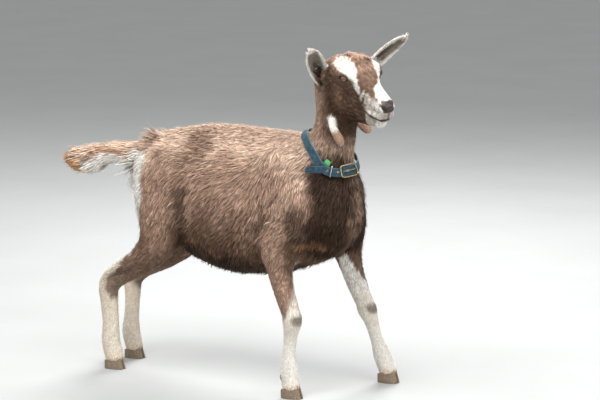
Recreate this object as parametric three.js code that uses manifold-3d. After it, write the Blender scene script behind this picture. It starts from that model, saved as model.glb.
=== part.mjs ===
// A standing young dairy goat with a collar, life size, in millimetres.
// +Z is up, the body faces +X and its left side is towards +Y. The finished model is moved by ORIGIN.
// The body is one rounded form: limbs, trunk, neck and head are elliptical sections carried along paths, and
// their distance fields are blended. The form is meshed region by region and parted by thin flat cuts.
import * as THREE from "three";
import { mergeVertices } from "three/addons/utils/BufferGeometryUtils.js";
import Module from "manifold-3d";

const wasm = await Module();
wasm.setup();

// ---------------------------------------------------------------- driving dimensions
const ORIGIN = [13.7, 38.4, 0]; // the middle of the finished model's box, on the floor
const GAP = 0.5; // clearance left by each cut between neighbouring pieces
const SLACK = 0.8; // clearance between the strap and its free end
const HEAD_POLL = [292, -11, 801]; // the top of the neck between the ears
const HEAD_TURN = { yaw: -25.5, pitch: 18.5, roll: 9 }; // degrees: turned right, nose down, left side up
const EYE = { place: [95, 38.5, -4], radius: 13 }; // in the head's frame, mirrored for the right eye

// ---------------------------------------------------------------- paths: [x, y, z, half width, half depth]
const TRUNK = [
  [-246, 0, 488, 50, 54],
  [-208, 0, 472, 78, 98],
  [-150, 0, 450, 88, 128],
  [-80, 0, 430, 106, 150],
  [0, 0, 424, 116, 161],
  [70, 0, 432, 112, 158],
  [140, 0, 450, 94, 146],
  [205, 0, 448, 78, 124],
  [269, 0, 446, 62, 98],
];
const BACKBONE = [
  [-278, 0, 520, 24, 24],
  [-215, 0, 553, 26, 30],
  [-110, 0, 580, 27, 30],
  [-40, 0, 587, 28, 30],
  [30, 0, 588, 28, 30],
  [100, 0, 583, 26, 31],
  [160, 0, 579, 26, 32],
  [205, 0, 562, 28, 34],
];
const BRISKET = [
  [287, 0, 494, 46, 46],
  [281, 0, 430, 48, 47],
  [268, 0, 394, 48, 42],
  [222, 0, 352, 50, 38],
  [120, 0, 330, 62, 42],
];
const NECK = [
  [172, 0, 500, 56, 94],
  [232, -2, 540, 54, 74],
  [268, -6, 600, 45, 59],
  [281, -9, 660, 42, 53],
  [281, -11, 712, 41, 55],
  [277, -12, 748, 40, 52],
];
const TAIL = [
  [-256, 0, 512, 27, 44],
  [-284, -8, 512, 25, 43],
  [-310, -19, 519, 21, 34],
  [-336, -31, 523, 20, 29],
  [-360, -42, 522, 20, 27],
  [-398, -60, 507, 21, 36],
  [-425, -73, 505, 19, 30],
  [-446, -85, 511, 10, 15],
];
const FORELEG_RIGHT = [
  [120, -48, 540, 22, 46],
  [185, -62, 470, 34, 62],
  [205, -72, 410, 36, 58],
  [172, -80, 350, 36, 46],
  [173, -82, 305, 29, 34],
  [185, -81, 250, 23, 26],
  [201, -79, 205, 21, 24],
  [205, -78, 182, 21, 25],
  [200, -77, 150, 16, 18],
  [195, -76, 105, 15, 17],
  [194, -75, 64, 19, 23],
  [200, -75, 28, 20, 23],
];
const FORELEG_LEFT = [
  [150, 48, 540, 22, 46],
  [224, 62, 470, 36, 60],
  [254, 70, 410, 36, 54],
  [248, 80, 350, 34, 44],
  [252, 92, 300, 28, 30],
  [260, 110, 245, 23, 25],
  [269, 128, 200, 21, 23],
  [273, 134, 180, 21, 25],
  [278, 146, 148, 16, 18],
  [284, 160, 105, 15, 17],
  [291, 172, 66, 19, 23],
  [301, 181, 30, 20, 23],
];
const HINDLEG_RIGHT = [
  [-190, -50, 500, 46, 80],
  [-188, -66, 430, 50, 72],
  [-174, -80, 365, 44, 60],
  [-190, -87, 316, 35, 46],
  [-240, -88, 272, 27, 34],
  [-303, -86, 236, 22, 30],
  [-334, -85, 204, 21, 28],
  [-334, -84, 160, 18, 25],
  [-331, -84, 110, 17, 23],
  [-331, -84, 66, 20, 26],
  [-321, -84, 30, 21, 25],
];
const HINDLEG_LEFT = [
  [-190, 50, 500, 46, 80],
  [-194, 62, 430, 50, 72],
  [-185, 70, 365, 44, 60],
  [-208, 68, 316, 35, 46],
  [-266, 58, 268, 27, 36],
  [-332, 46, 232, 22, 31],
  [-358, 40, 200, 20, 27],
  [-358, 36, 160, 17, 22],
  [-360, 34, 110, 16, 21],
  [-361, 32, 66, 20, 25],
  [-352, 32, 30, 21, 24],
];

// Head paths, in the head's own frame: x from the poll towards the nose, y left, z towards the crown.
const SKULL = [
  [2, 0, -44, 36, 36],
  [32, 0, -26, 42, 37],
  [64, 0, -16, 44, 36],
  [95, 0, -14, 40, 35],
  [124, 0, -18, 31, 31],
  [150, 0, -25, 26, 27],
  [184, 0, -29, 23, 24],
  [208, 0, -32, 22, 22],
];
const JAW = [
  [10, 0, -80, 30, 46],
  [50, 0, -86, 29, 45],
  [90, 0, -86, 25, 40],
  [125, 0, -82, 21, 33],
  [155, 0, -79, 19, 26],
  [178, 0, -80, 18, 17],
  [190, 0, -80, 15, 14],
];
const UPPER_LIP = [
  [150, 0, -52, 24, 20],
  [184, 0, -54, 22, 17],
  [207, 0, -53, 20, 16],
];
const CHEEK = [
  [8, 20, -72, 16, 42],
  [46, 24, -66, 17, 40],
  [86, 22, -56, 15, 30],
  [122, 14, -50, 13, 22],
];
const BROW = [
  [66, 33, 6, 12, 11],
  [90, 36, 7, 11, 10],
  [108, 29, 2, 9, 9],
];
const ORBIT = [
  [70, 30, -12, 15, 17],
  [94, 30, -10, 16, 19],
  [110, 25, -10, 13, 15],
];
const FORELOCK = [
  [38, 0, 2, 18, 14],
  [66, 2, 14, 22, 15],
  [92, 4, 12, 18, 12],
];
const EAR_ROOT = [
  [0, 24, -44, 20, 22],
  [0, 44, -44, 17, 19],
  [3, 56, -34, 15, 17],
];
const WATTLE_RIGHT = [
  [56, -49, -122, 8, 8],
  [72, -56, -133, 9, 9],
  [84, -54, -146, 10, 10],
  [91, -50, -157, 11, 11],
  [95, -47, -166, 10, 10],
  [97, -46, -172, 4, 4],
];
const WATTLE_LEFT = [
  [38, 14, -140, 8, 8],
  [46, 25, -155, 9, 9],
  [53, 36, -166, 11, 11],
  [58, 43, -173, 11, 11],
  [60, 47, -177, 5, 5],
];
const EAR_OUTLINE = [
  [0, 15],
  [0.15, 20],
  [0.32, 24],
  [0.5, 25.5],
  [0.7, 23.5],
  [0.86, 18.5],
  [0.95, 12.5],
  [1, 5],
]; // share of the ear's length, half width
const EAR_RIGHT = { root: [-5, -44, -62], tip: [10, -88, 40], facing: [0.9, 0.05, -0.1] };
const EAR_LEFT = { root: [8, 46, -44], tip: [55, 135, 50], facing: [0.8, -0.1, -0.35] };
const EAR_LEAF = { thickness: 6, cup: 0.7, bow: 8 };

// Collar: angle round the neck from the throat to the right, and the strap's height there.
const COLLAR = { centre: [274, -8], width: 20, thickness: 3 };
const COLLAR_HEIGHTS = [
  [-180, 618],
  [-140, 604],
  [-100, 582],
  [-60, 562],
  [-38, 552],
  [-10, 544],
  [11, 540],
  [44, 535],
  [73, 538],
  [98, 551],
  [114, 571],
  [130, 588],
  [150, 606],
  [180, 618],
];
const BUCKLE = { angle: 20, span: 34, height: 27, wire: 1.9 };
const KEEPER = { angle: 63, height: 25, wire: 1.1 };
const FREE_END = { from: -10, leaves: 80, tip: [251, -89, 545], width: 18 };
const EYELETS = { angles: [22, 46, 73], radius: 2.8, hole: 1.2 };
const TAG = { angle: 84, width: 17, height: 12 };

// Hooves: two claws a foot. Outline of one claw seen from above: forward, away from the cleft.
const CLAW = [
  [-23, 1.5],
  [4, 1.5],
  [26, 3],
  [24, 9],
  [10, 17],
  [-8, 20],
  [-20, 17],
  [-25, 9],
];
const CORONET = 26; // height of the hoof's upper edge under the shin
const CLAW_RINGS = [
  [1, 3, 0, 0],
  [0.98, 2, 8, 0],
  [0.84, -2, CORONET - 1, 0.3],
]; // scale, shift forward, height, slope upward to the front

// ---------------------------------------------------------------- fields
const dot = (a, b) => a[0] * b[0] + a[1] * b[1] + a[2] * b[2];
const sub = (a, b) => [a[0] - b[0], a[1] - b[1], a[2] - b[2]];
const cross = (a, b) => [
  a[1] * b[2] - a[2] * b[1],
  a[2] * b[0] - a[0] * b[2],
  a[0] * b[1] - a[1] * b[0],
];
const unit = (a) => {
  const l = Math.hypot(...a);
  return [a[0] / l, a[1] / l, a[2] / l];
};

// A path's stations joined by a Catmull-Rom spline, which rounds its sizes as well as its places.
function smoothPath(stations, perSpan = 5) {
  const at = (i) => stations[Math.max(0, Math.min(stations.length - 1, i))];
  const out = [];
  for (let i = 0; i < stations.length - 1; i++)
    for (let s = 0; s < perSpan; s++) {
      const t = s / perSpan;
      out.push(
        at(i).map((_, k) => {
          const [a, b, c, d] = [at(i - 1)[k], at(i)[k], at(i + 1)[k], at(i + 2)[k]];
          return b + 0.5 * t * (c - a + t * (2 * a - 5 * b + 4 * c - d + t * (3 * (b - c) + d - a)));
        }),
      );
    }
  out.push(stations[stations.length - 1]);
  return out;
}

// Signed distance, near enough, to an elliptical section carried along a path whose width lies along +Y.
// Beyond FAR of the path's box the distance to that box stands in for it.
const FAR = 80;
function sweep(stations) {
  const path = smoothPath(stations);
  const low = [0, 1, 2].map((k) => Math.min(...path.map((s) => s[k] - Math.max(s[3], s[4]))));
  const high = [0, 1, 2].map((k) => Math.max(...path.map((s) => s[k] + Math.max(s[3], s[4]))));
  const segments = path.slice(1).map((b, i) => {
    const a = path[i];
    const along = sub(b, a);
    const t = unit(along);
    const side = unit(sub([0, 1, 0], t.map((v) => v * t[1])));
    return { a, b, along, length2: dot(along, along), t, side, normal: cross(t, side) };
  });
  return (p) => {
    const outside = Math.hypot(...[0, 1, 2].map((k) => Math.max(low[k] - p[k], p[k] - high[k], 0)));
    if (outside > FAR) return outside;
    let best = Infinity;
    for (const s of segments) {
      const q = sub(p, s.a);
      const share = Math.max(0, Math.min(1, dot(q, s.along) / s.length2));
      const d = [q[0] - share * s.along[0], q[1] - share * s.along[1], q[2] - share * s.along[2]];
      const width = s.a[3] + share * (s.b[3] - s.a[3]);
      const depth = s.a[4] + share * (s.b[4] - s.a[4]);
      const end = Math.min(width, depth);
      const reach = Math.hypot(dot(d, s.side) / width, dot(d, s.normal) / depth, dot(d, s.t) / end);
      const distance = reach < 1e-6 ? -end : Math.hypot(...d) * (1 - 1 / reach);
      best = Math.min(best, distance);
    }
    return best;
  };
}

const mirrored = (stations) => stations.map(([x, y, z, ...sizes]) => [x, -y, z, ...sizes]);

// Union of two fields with a fillet of about k between them.
function blend(a, b, k) {
  const h = Math.max(k - Math.abs(a - b), 0) / k;
  return Math.min(a, b) - (h * h * k) / 4;
}

const radians = THREE.MathUtils.degToRad;
const headAngles = [HEAD_TURN.roll, HEAD_TURN.pitch, HEAD_TURN.yaw].map(radians);
const headTurn = new THREE.Euler(...headAngles, "ZYX");
const headPlace = new THREE.Matrix4().makeRotationFromEuler(headTurn).setPosition(...HEAD_POLL);
const apply = (m, [x, y, z], w = 1) =>
  [0, 1, 2].map((k) => m[k] * x + m[4 + k] * y + m[8 + k] * z + w * m[12 + k]);
const outOfHead = (p) => apply(headPlace.elements, p);
const turnedWithHead = (v) => apply(headPlace.elements, v, 0);
const intoHead = headPlace.clone().invert().elements;
const toHead = (p) => apply(intoHead, p);

const bodyFields = [
  [sweep(TRUNK), 1],
  [sweep(BACKBONE), 40],
  [sweep(BRISKET), 50],
  [sweep(NECK), 42],
  [sweep(TAIL), 24],
  [sweep(FORELEG_RIGHT), 34],
  [sweep(FORELEG_LEFT), 34],
  [sweep(HINDLEG_RIGHT), 34],
  [sweep(HINDLEG_LEFT), 34],
];
const headFields = [
  [sweep(SKULL), 1],
  [sweep(JAW), 22],
  [sweep(UPPER_LIP), 12],
  [sweep(CHEEK), 20],
  [sweep(mirrored(CHEEK)), 20],
  [sweep(BROW), 12],
  [sweep(mirrored(BROW)), 12],
  [sweep(FORELOCK), 14],
  [sweep(ORBIT), 14],
  [sweep(mirrored(ORBIT)), 14],
  [sweep(EAR_ROOT), 12],
  [sweep(mirrored(EAR_ROOT)), 12],
];
const blended = (fields, p) => fields.reduce((f, [field, k]) => blend(f, field(p), k), 1e3);
const goat = (p) => blend(blended(bodyFields, p), blended(headFields, toHead(p)), 30);

// ---------------------------------------------------------------- meshing
// Surface nets: a box of cells over a field, with one vertex in each cell the surface crosses, drawn onto it.
const CORNERS = [0, 1, 2, 3, 4, 5, 6, 7].map((c) => [c & 1, (c >> 1) & 1, (c >> 2) & 1]);
function net(field, low, high, cell) {
  const n = [0, 1, 2].map((k) => Math.ceil((high[k] - low[k]) / cell[k]) + 3);
  const start = [0, 1, 2].map((k) => low[k] - cell[k]);
  const at = (i, j, k) => [start[0] + i * cell[0], start[1] + j * cell[1], start[2] + k * cell[2]];
  const margin = (p) => Math.max(...[0, 1, 2].flatMap((k) => [low[k] - p[k], p[k] - high[k]]));
  const id = (i, j, k) => (k * n[1] + j) * n[0] + i;
  const value = new Float64Array(n[0] * n[1] * n[2]);
  for (let k = 0; k < n[2]; k++)
    for (let j = 0; j < n[1]; j++)
      for (let i = 0; i < n[0]; i++) {
        const p = at(i, j, k);
        const m = margin(p);
        value[id(i, j, k)] = m > 0 ? m : Math.max(field(p), m);
      }
  const vertex = new Int32Array(value.length).fill(-1);
  const points = [];
  for (let k = 0; k < n[2] - 1; k++)
    for (let j = 0; j < n[1] - 1; j++)
      for (let i = 0; i < n[0] - 1; i++) {
        const v = CORNERS.map(([a, b, c]) => value[id(i + a, j + b, k + c)]);
        const count = v.filter((x) => x < 0).length;
        if (count === 0 || count === v.length) continue;
        const sum = [0, 0, 0];
        let crossings = 0;
        for (let c = 0; c < v.length; c++)
          for (let axis = 0; axis < 3; axis++) {
            const d = c | (1 << axis);
            if (d === c || v[c] < 0 === v[d] < 0) continue;
            const t = v[c] / (v[c] - v[d]);
            for (let m = 0; m < 3; m++) sum[m] += CORNERS[c][m] + (m === axis ? t : 0);
            crossings++;
          }
        vertex[id(i, j, k)] = points.length / 3;
        const corner = at(i, j, k);
        points.push(...settle(field, margin, corner.map((x, m) => x + (sum[m] / crossings) * cell[m]), cell));
      }
  const index = [];
  const step = [1, n[0], n[0] * n[1]];
  const far = (a, b) => Math.hypot(...[0, 1, 2].map((m) => points[3 * a + m] - points[3 * b + m]));
  for (let k = 1; k < n[2] - 1; k++)
    for (let j = 1; j < n[1] - 1; j++)
      for (let i = 1; i < n[0] - 1; i++)
        for (let axis = 0; axis < 3; axis++) {
          const here = id(i, j, k);
          const a = value[here];
          const b = value[here + step[axis]];
          if (a < 0 === b < 0) continue;
          const u = step[(axis + 1) % 3];
          const w = step[(axis + 2) % 3];
          const ring = [here, here - u, here - u - w, here - w].map((m) => vertex[m]);
          const q = a < 0 ? ring : ring.reverse();
          if (far(q[0], q[2]) < far(q[1], q[3])) index.push(q[0], q[1], q[2], q[0], q[2], q[3]);
          else index.push(q[1], q[2], q[3], q[1], q[3], q[0]);
        }
  const geometry = new THREE.BufferGeometry();
  geometry.setAttribute("position", new THREE.Float32BufferAttribute(points, 3));
  geometry.setIndex(index);
  return geometry;
}

// Moves a vertex onto the surface by Newton's steps, no further than half a cell; box faces are left alone.
function settle(field, margin, p, cell) {
  const limit = Math.min(...cell) / 2;
  const probe = 0.5;
  let q = p;
  for (let turn = 0; turn < 3; turn++) {
    const f = field(q);
    if (margin(q) > -1 || Math.abs(f) > 3 * limit) return p;
    const slope = [0, 1, 2].map((m) => (field(q.map((x, k) => x + (k === m ? probe : 0))) - f) / probe);
    const square = Math.max(dot(slope, slope), 0.1);
    q = q.map((x, m) => x - (f * slope[m]) / square);
  }
  const moved = Math.hypot(...sub(q, p));
  return moved > limit ? p.map((x, m) => x + ((q[m] - x) * limit) / moved) : q;
}

// ---------------------------------------------------------------- solids
function solid(geometry) {
  const bare = geometry.clone();
  bare.deleteAttribute("normal");
  bare.deleteAttribute("uv");
  const merged = mergeVertices(bare, 1e-4);
  const vertProperties = new Float32Array(merged.attributes.position.array);
  const triVerts = new Uint32Array(merged.index.array);
  return new wasm.Manifold(new wasm.Mesh({ numProp: 3, vertProperties, triVerts }));
}

// Everything on one side of a flat face, as a block far larger than the goat.
const BLOCK = 2400;
const UP = new THREE.Vector3(0, 0, 1);
function halfSpace(point, normal, grow) {
  const n = unit(normal);
  const turn = new THREE.Quaternion().setFromUnitVectors(UP, new THREE.Vector3(...n));
  const block = new THREE.BoxGeometry(BLOCK, BLOCK, BLOCK).translate(0, 0, BLOCK / 2 - grow);
  return solid(block.applyQuaternion(turn).translate(...point));
}

// A convex region from its faces, each a point and the normal that points inside.
const region = (faces, grow = 0) =>
  faces.map(([point, normal]) => halfSpace(point, normal, grow)).reduce((a, b) => a.intersect(b));

// A solid's surface with every edge shorter than this closed up, and the triangles that leaves flat taken out.
const SHORT_EDGE = 0.25;
function surface(body) {
  const { vertProperties, triVerts } = body.getMesh();
  const home = Array.from({ length: vertProperties.length / 3 }, (_, v) => v);
  const root = (v) => (home[v] === v ? v : root(home[v]));
  const at = (v) => Array.from(vertProperties.subarray(3 * v, 3 * v + 3));
  for (let t = 0; t < triVerts.length; t++) {
    const [a, b] = [triVerts[t], triVerts[t % 3 === 2 ? t - 2 : t + 1]].map(root);
    if (Math.hypot(...sub(at(a), at(b))) < SHORT_EDGE) home[Math.max(a, b)] = Math.min(a, b);
  }
  const kept = new Map();
  for (let t = 0; t < triVerts.length; t += 3) {
    const corners = Array.from(triVerts.subarray(t, t + 3), root);
    if (new Set(corners).size < 3) continue;
    const key = corners.toSorted((a, b) => a - b).join();
    if (!kept.delete(key)) kept.set(key, corners);
  }
  const geometry = new THREE.BufferGeometry();
  geometry.setAttribute("position", new THREE.BufferAttribute(vertProperties, 3));
  geometry.setIndex([...kept.values()].flat());
  geometry.computeVertexNormals();
  return geometry.translate(-ORIGIN[0], -ORIGIN[1], -ORIGIN[2]);
}

const group = new THREE.Group();
function place(name, body, { color, roughness = 0.9, metalness = 0 }) {
  const material = new THREE.MeshStandardMaterial({ color, roughness, metalness });
  const part = new THREE.Mesh(surface(body), material);
  part.name = name;
  group.add(part);
}

const HORN = { color: 0x3c342e, roughness: 0.55 };
const IRIS = { color: 0x8a5a20, roughness: 0.15 };
const FUR = { brown: { color: 0x8a7060 }, white: { color: 0xe6ded2 } };

// ---------------------------------------------------------------- cuts: [point, normal pointing into the region]
const headCut = [[outOfHead([35, 0, -134]), turnedWithHead([0.45, 0, 0.893])]];
const neckCut = [[[168, 0, 600], [0.776, 0, 0.631]]];
const tailCut = [[[-280, 0, 525], [-1, 0, 0.1]]];
const forelegCut = (x, side) => [
  [[x, 75 * side, 345], [0, 0.6 * side, -0.8]],
  [[x - 70, 0, 300], [1, 0, 0]],
  [[x, 10 * side, 300], [0, side, 0]],
];
const hindlegCut = (side) => [
  [[-195, 85 * side, 395], [0, 0.5 * side, -0.87]],
  [[-95, 0, 390], [-0.894, 0, 0.447]],
  [[-195, 8 * side, 300], [0, side, 0]],
];
const LEGS = [
  ["foreleg_right", forelegCut(182, -1), FORELEG_RIGHT],
  ["foreleg_left", forelegCut(240, 1), FORELEG_LEFT],
  ["hindleg_right", hindlegCut(-1), HINDLEG_RIGHT],
  ["hindleg_left", hindlegCut(1), HINDLEG_LEFT],
];
const flip = (faces) => faces.map(([p, n]) => [p, n.map((v) => -v)]);

// ---------------------------------------------------------------- lofts and bands
// A closed body through rings of points, its two ends closed by fans.
function loft(rings) {
  const m = rings[0].length;
  const centre = (ring) => [0, 1, 2].map((k) => ring.reduce((s, p) => s + p[k], 0) / m);
  const points = [...rings.flat(), centre(rings[0]), centre(rings[rings.length - 1])];
  const first = rings.length * m;
  const index = [];
  for (let r = 0; r + 1 < rings.length; r++)
    for (let i = 0; i < m; i++) {
      const [a, b, c, d] = [r * m + i, r * m + ((i + 1) % m), (r + 1) * m + ((i + 1) % m), (r + 1) * m + i];
      index.push(a, b, c, a, c, d);
    }
  for (let i = 0; i < m; i++) {
    const last = (rings.length - 1) * m;
    index.push(first, (i + 1) % m, i, first + 1, last + i, last + ((i + 1) % m));
  }
  return bodyOf(points, index);
}

// A closed body through rings that come back to the first one.
function hoop(rings) {
  const m = rings[0].length;
  const n = rings.length;
  const index = [];
  for (let r = 0; r < n; r++)
    for (let i = 0; i < m; i++) {
      const s = ((r + 1) % n) * m;
      const j = (i + 1) % m;
      index.push(r * m + i, r * m + j, s + j, r * m + i, s + j, s + i);
    }
  return bodyOf(rings.flat(), index);
}

function bodyOf(points, index) {
  let volume = 0;
  for (let t = 0; t < index.length; t += 3)
    volume += dot(points[index[t]], cross(points[index[t + 1]], points[index[t + 2]]));
  if (volume < 0) index.reverse();
  const geometry = new THREE.BufferGeometry();
  geometry.setAttribute("position", new THREE.Float32BufferAttribute(points.flat(), 3));
  geometry.setIndex(index);
  return solid(geometry);
}

const add = (a, b, s = 1) => [a[0] + s * b[0], a[1] + s * b[1], a[2] + s * b[2]];
const circle = (n, turn = 0) => Array.from({ length: n }, (_, i) => radians((360 * i) / n + turn));

// Round sections along a path of stations, from the first station to the last.
function tube(stations, sides, grow = 0) {
  const path = smoothPath(stations, 1);
  const rings = path.map((s, i) => {
    const t = unit(sub(path[Math.min(i + 1, path.length - 1)], path[Math.max(i - 1, 0)]));
    const side = unit(cross(t, [1, 0, 0.1]));
    const other = cross(t, side);
    const ends = (i === path.length - 1) - (i === 0);
    const middle = add(s, t, ends * grow);
    return circle(sides).map((a) =>
      outOfHead(add(add(middle, side, (s[3] + grow) * Math.cos(a)), other, (s[4] + grow) * Math.sin(a))),
    );
  });
  return loft(rings);
}

// An ear: a cupped leaf, rounded at its rim, whose hollow looks along `facing`.
function ear({ root, tip, facing }, grow = 0) {
  const along = sub(tip, root);
  const length = Math.hypot(...along);
  const t = unit(along);
  const face = unit(sub(facing, t.map((v) => v * dot(t, facing))));
  const side = cross(face, t);
  const rings = EAR_OUTLINE.map(([share, half], i) => {
    const ends = (i === EAR_OUTLINE.length - 1) - (i === 0);
    const cup = EAR_LEAF.cup * (1.1 - share);
    const bend = EAR_LEAF.bow * Math.sin(Math.PI * share) - EAR_LEAF.bow;
    const place = (v, lift) => {
      const across = half * v * (1 - 0.2 * cup * v * v);
      const height = half * cup * v * v - bend + lift;
      return outOfHead(add(add(add(root, t, share * length + ends * grow), side, across), face, height));
    };
    const thick = Math.min(EAR_LEAF.thickness, half) / 2 + grow;
    const reach = 1 + grow / half;
    const stations = [-1, -0.72, -0.3, 0.3, 0.72, 1];
    const rim = (v) => thick * Math.sqrt(Math.max(0, 1 - 0.8 * v ** 4));
    const front = stations.map((v) => place(v * reach, rim(v)));
    const back = stations.map((v) => place(-v * reach, -rim(v)));
    return [...front, ...back];
  });
  return loft(rings);
}

const ball = (centre, radius, [sides, rows] = [12, 8]) =>
  solid(new THREE.SphereGeometry(radius, sides, rows).rotateX(Math.PI / 2).translate(...centre));

// ---------------------------------------------------------------- flesh
let trunk = solid(net(goat, [-345, -140, 250], [340, 140, 640], [34, 25, 27]));
trunk = trunk.intersect(region(flip(neckCut), -GAP)).intersect(region(flip(tailCut), -GAP));
for (const [, faces] of LEGS) trunk = trunk.subtract(region(faces, GAP));
place("trunk", trunk, FUR.brown);

const eyes = [1, -1].map((s) => outOfHead([EYE.place[0], s * EYE.place[1], EYE.place[2]]));
const EARS = [
  ["ear_right", EAR_RIGHT],
  ["ear_left", EAR_LEFT],
];
const WATTLES = [
  ["wattle_right", WATTLE_RIGHT],
  ["wattle_left", WATTLE_LEFT],
];
const WATTLE_SIDES = 8;
let head = solid(net(goat, [170, -200, 640], [520, 160, 890], [14, 14, 14])).intersect(region(headCut));
for (const centre of eyes) head = head.subtract(ball(centre, EYE.radius + GAP));
for (const [, shape] of EARS) head = head.subtract(ear(shape, GAP));
for (const [, path] of WATTLES) head = head.subtract(tube(path, WATTLE_SIDES, GAP));
place("head", head, FUR.brown);
place("eye_left", ball(eyes[0], EYE.radius), IRIS);
place("eye_right", ball(eyes[1], EYE.radius), IRIS);
for (const [name, shape] of EARS) place(name, ear(shape), FUR.white);
for (const [name, path] of WATTLES) place(name, tube(path, WATTLE_SIDES), FUR.white);

const tail = solid(net(goat, [-500, -130, 430], [-240, 60, 580], [24, 16, 16]));
place("tail", tail.intersect(region(tailCut)), FUR.brown);

// ---------------------------------------------------------------- legs and hooves
for (const [name, faces, path] of LEGS) {
  const xs = path.map((s) => s[0]);
  const side = name.endsWith("left") ? 1 : -1;
  const low = [Math.min(...xs) - 90, side > 0 ? 0 : -140, 10];
  const high = [Math.max(...xs) + 90, side > 0 ? 220 : 0, 440];
  const rough = solid(net(goat, low, high, [17, 17, 30]));
  const foot = path[path.length - 1];
  const leg = rough.intersect(region([...faces, [[foot[0], foot[1], CORONET], [-0.3, 0, 0.95]]]));
  place(name, leg, FUR.white);
  for (const part of [1, -1]) {
    const which = part > 0 ? "left" : "right";
    const outline = ([scale, shift, height, slope]) =>
      CLAW.map(([x, y]) => [
        foot[0] + shift + x * scale,
        foot[1] + part * y * (0.35 + 0.65 * scale),
        height + slope * x * scale,
      ]);
    place(`${name}_claw_${which}`, loft(CLAW_RINGS.map(outline)), HORN);
  }
}

// ---------------------------------------------------------------- collar
// Where the strap's centre line meets the neck, looking out from the neck's axis.
function strapHeight(degrees) {
  const turned = ((degrees + 540) % 360) - 180;
  const k = Math.max(0, COLLAR_HEIGHTS.findIndex(([a]) => a > turned) - 1);
  const [[a0, z0], [a1, z1]] = COLLAR_HEIGHTS.slice(k, k + 2);
  const t = (turned - a0) / (a1 - a0);
  return z0 + (z1 - z0) * t * t * (3 - 2 * t);
}
function onNeck(degrees) {
  const a = radians(degrees);
  const axis = [...COLLAR.centre, strapHeight(degrees)];
  const ray = [Math.cos(a), -Math.sin(a), 0];
  let [near, far] = [10, 160];
  for (let i = 0; i < 30; i++) {
    const middle = (near + far) / 2;
    if (goat(add(axis, ray, middle)) < 0) near = middle;
    else far = middle;
  }
  return add(axis, ray, near);
}
function collarPlace(degrees, height, lift) {
  const step = 9;
  const here = onNeck(degrees);
  const round = unit(sub(onNeck(degrees + step), onNeck(degrees - step)));
  const probe = 6;
  const slope = [0, 1, 2].map((m) => {
    const d = [0, 0, 0].map((_, k) => (k === m ? probe : 0));
    return goat(add(here, d)) - goat(add(here, d, -1));
  });
  const out = unit(sub(slope, round.map((v) => v * dot(slope, round))));
  const rise = cross(out, round);
  return add(add(here, rise, height), out, lift);
}
const band = (degrees, half, low, high) =>
  [[-half, low], [half, low], [half, high], [-half, high]].map(([w, n]) => collarPlace(degrees, w, n));

const INNER = 3; // clearance under the strap for the keeper ring
const outer = INNER + COLLAR.thickness;
const strap = () => {
  const turns = Array.from({ length: 36 }, (_, i) => i * 10);
  return hoop(turns.map((d) => band(d, COLLAR.width / 2, INNER, outer)));
};
const top = outer + SLACK + COLLAR.thickness;
const freeEnd = () => {
  const turns = [];
  for (let d = FREE_END.from; d <= FREE_END.leaves; d += 10) turns.push(d);
  const rings = turns.map((d) => band(d, FREE_END.width / 2, outer + SLACK, top));
  const last = rings[rings.length - 1];
  const middle = [0, 1, 2].map((k) => last.reduce((s, p) => s + p[k] / 4, 0));
  const way = sub(FREE_END.tip, middle);
  const along = (share, narrow) =>
    last.map((p) => add(add(middle, sub(p, middle), narrow), way, share));
  return loft([...rings, along(0.45, 1), along(0.85, 1), along(1, 0.9)]);
};

// A wire bent to a path in the strap's own frame, each point an angle, a height and a lift off the neck.
// It lies in a plane that the step `clear`, in the same three measures, points out of.
const wire = (path, radius, closed, clear) => {
  const at = path.map(([degrees, height, lift]) => collarPlace(degrees, height, lift));
  const n = at.length;
  const rings = at.map((p, i) => {
    const next = closed ? at[(i + 1) % n] : at[Math.min(i + 1, n - 1)];
    const last = closed ? at[(i + n - 1) % n] : at[Math.max(i - 1, 0)];
    const t = unit(sub(next, last));
    const off = sub(collarPlace(...path[i].map((v, k) => v + clear[k])), p);
    const side = unit(cross(t, off));
    const other = cross(t, side);
    return circle(5).map((a) => add(add(p, side, radius * Math.cos(a)), other, radius * Math.sin(a)));
  });
  return closed ? hoop(rings) : loft(rings);
};
const METAL = { color: 0xb0a890, roughness: 0.35, metalness: 0.9 };
const WEB = { color: 0x2c5660, roughness: 0.8 };
const degreesPerMm = 1.15;
const TONGUE_RISE = 1;
const TONGUE_WIRE = 1.3;
const OFF_NECK = [0, 0, 1];
const ROUND_NECK = [1, 0, 0];
const frameLift = top + GAP + BUCKLE.wire;
const frameReach = (BUCKLE.span / 2) * degreesPerMm;
const buckleFrame = [-1, 1].flatMap((s) =>
  [-1, -0.86, 0, 0.86, 1].map((t) => {
    const squeeze = Math.abs(t) === 1 ? 0.8 : 1;
    return [BUCKLE.angle + s * t * -frameReach, (s * BUCKLE.height * squeeze) / 2, frameLift];
  }),
);
const pinReach = frameReach - (BUCKLE.wire + BUCKLE.wire + GAP) * degreesPerMm;
const buckleTongue = [-1, 0, 1].map((t) => [BUCKLE.angle + t * pinReach, 0, frameLift + TONGUE_RISE]);
const [ringLow, ringHigh] = [INNER - GAP - KEEPER.wire, top + GAP + KEEPER.wire];
const keeperLoop = () =>
  wire(
    [
      [-1, ringLow],
      [0, ringLow],
      [1, ringLow],
      [1, ringHigh],
      [0, ringHigh],
      [-1, ringHigh],
    ].map(([w, n]) => [KEEPER.angle, (w * KEEPER.height) / 2, n]),
    KEEPER.wire,
    true,
    ROUND_NECK,
  );
const eyelet = (degrees) => {
  const [low, high] = [top + GAP, top + GAP + 0.9];
  const rings = circle(6).map((a) =>
    [[EYELETS.hole, low], [EYELETS.radius, low], [EYELETS.radius, high], [EYELETS.hole, high]].map(([r, n]) =>
      collarPlace(degrees + r * Math.cos(a) * degreesPerMm, r * Math.sin(a), n),
    ),
  );
  return hoop(rings);
};
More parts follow.
